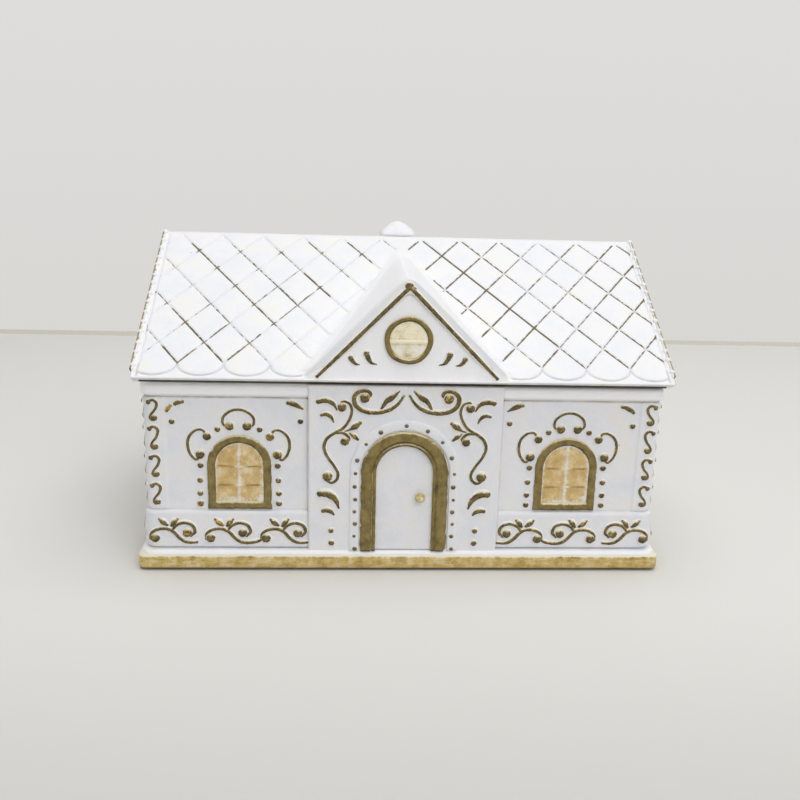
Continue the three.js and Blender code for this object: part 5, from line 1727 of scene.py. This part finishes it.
def dressWall(label, wall, half, centres, count):
    reach = half - 2.4
    strokes, dots = vineStrokes((2 * reach - 17.1) / (count - 1), count)
    place(label + "_dado_vine", [], shift(strokes, reach + 36.5), shiftDots(dots, reach + 36.5),
          (wall[0] + house["bandOut"], wall[1]))
    strokes, dots = [], []
    for x in centres:
        strokes += shift(crest["top"], x) + shift(crest["side"], x) + shift(mirror(crest["side"]), x)
        dots += shiftDots(crest["topDots"], x) + shiftDots(crest["sideDots"], x)
        dots += shiftDots(mirrorDots(crest["sideDots"]), x) + windowBeads(x)
    place(label + "_window_crests", [], strokes, dots, wall)
    strokes, dots = cornerColumn(-(half - 3.4))
    strokes, dots = strokes + mirror(strokes), dots + mirrorDots(dots)
    scrolls = drawRelief(label + "_corner_scrolls", strokes, dots,
                         (wall[0] + body["pilasterOut"] - 0.05, wall[1]), frameGold, flank=1.05)
    settle(scrolls, [], "box")


dressWall("back", back, house["wallX"], (-window["centreX"], window["centreX"]), 9)
dressWall("right_side", rightSide, house["wallY"], (0.0,), 6)
dressWall("left_side", leftSide, house["wallY"], (0.0,), 6)
print("side and back relief made")


# floor, backdrop, lamps and camera

studio = {
    "floorColour": "#e3e2de",
    "floorNear": "#cfceca",
    "backdropColour": "#dedddb",
    "backdropLow": "#d8d7d4",
    "backdropY": 0.425,
    "worldStrength": 0.49,
    "topPower": 11.0,
    "topSize": 1.6,
    "topHeight": 1.5,
    "frontPower": 6.7,
}


def plainPaint(name, code, nearer=None, seenAs=None):
    # Matt studio paper, with its seen colour set apart from the light that it returns
    parts = ("x depth height", "parts", "place")
    steps = [("shader", "ShaderNodeBsdfDiffuse", {"Color": code})]
    if nearer:                 # painted shade: the floor darkens towards the front
        steps = [parts, ("fade", "ease", "depth", -0.24, -0.08), ("tone", "blend", "fade", nearer, code),
                 ("shader", "ShaderNodeBsdfDiffuse", {"Color": "tone"})]
    # painted light: the backdrop glows in its own colour to camera and glossy rays, darker towards the floor
    if seenAs:
        steps += [
            parts,
            ("camera shadow diffuse glossy singular reflection transmission", "ShaderNodeLightPath"),
            ("seen", "MAXIMUM", "camera", "glossy"),
            ("seen", "MAXIMUM", "seen", "transmission"),
            ("level", "range", "height", 0.0, 0.30),
            ("tone", "ramp", "level", {"ramp": ((0.0, seenAs[0]), (1.0, seenAs[1]))}),
            ("glow", "ShaderNodeEmission", {"Color": "tone"}),
            ("shader", "ShaderNodeMixShader", "seen", "shader", "glow"),
        ]
    return makeMaterial(name, (), steps)


def makeSheet(name, corners, material):
    mesh = bpy.data.meshes.new(name)
    mesh.from_pydata(corners, [], [(0, 1, 2, 3)])
    mesh.materials.append(material)
    sheet = addObject(name, mesh)


farY = studio["backdropY"]
makeSheet("studio_floor", [(-4, -4, 0), (4, -4, 0), (4, farY, 0), (-4, farY, 0)],
          plainPaint("studio_floor_paper", studio["floorColour"], studio["floorNear"]))
makeSheet("studio_backdrop", [(-4, farY, 0), (4, farY, 0), (4, farY, 3), (-4, farY, 3)],
          plainPaint("studio_backdrop_paper", "#d8d8d8", None,
                     (studio["backdropLow"], studio["backdropColour"])))

# painted shade: a darker strip along the corner of floor and backdrop
makeSheet("studio_corner_painted_shade", [(-4, farY - 0.001, 0), (4, farY - 0.001, 0), (4, farY - 0.001, 0.004),
                                (-4, farY - 0.001, 0.004)], plainPaint("studio_corner_painted_shade", "#e0dcd2"))


def areaLamp(name, power, size, where, towards):
    lamp = bpy.data.lights.new(name, "AREA")
    lamp.energy, lamp.size, lamp.shape = power, size, "DISK"
    lamp.color = (1.0, 1.0, 1.0)
    piece = bpy.data.objects.new(name, lamp)
    piece.location = where
    piece.rotation_euler = (Vector(towards) - Vector(where)).to_track_quat("-Z", "Y").to_euler()
    bpy.context.scene.collection.objects.link(piece)


areaLamp("top_softbox", studio["topPower"], studio["topSize"], (0.15, -0.1, studio["topHeight"]),
         (0, 0, 0.05))
areaLamp("front_softbox", studio["frontPower"], 1.1, (0.55, -1.25, 1.15), (0, 0, 0.06))

world = bpy.data.worlds.new("studio_light")
bpy.context.scene.world = world
world.use_nodes = True
world.node_tree.nodes.clear()
sky = addNode(world.node_tree, "ShaderNodeBackground", {},
              {"Color": (1.0, 1.0, 1.0, 1.0), "Strength": studio["worldStrength"]})
addNode(world.node_tree, "ShaderNodeOutputWorld", {}, {"Surface": sky.outputs[0]})

view = {"pitch": 14.39, "yaw": 3.36, "roll": 1.54, "place": (-0.02014, -0.36677, 0.14472), "lens": 38.25}


def makeCamera():
    pitch, yaw, roll = (math.radians(view[k]) for k in ("pitch", "yaw", "roll"))
    ahead = Vector((math.sin(yaw) * math.cos(pitch), math.cos(yaw) * math.cos(pitch), -math.sin(pitch)))
    right = Vector((math.cos(yaw), -math.sin(yaw), 0))
    up = right.cross(ahead)
    across = right * math.cos(roll) + up * math.sin(roll)
    upright = up * math.cos(roll) - right * math.sin(roll)
    lens = bpy.data.cameras.new("photo_view")
    lens.lens, lens.sensor_width = view["lens"], 36.0
    lens.clip_start, lens.clip_end = 0.01, 20.0
    camera = bpy.data.objects.new("photo_view", lens)
    turn = Matrix((across, upright, -ahead)).transposed().to_4x4()
    camera.matrix_world = Matrix.Translation(Vector(view["place"])) @ turn
    bpy.context.scene.collection.objects.link(camera)
    bpy.context.scene.camera = camera


makeCamera()
bpy.context.scene.view_settings.view_transform = "Standard"
print("stage, lamps and camera set")
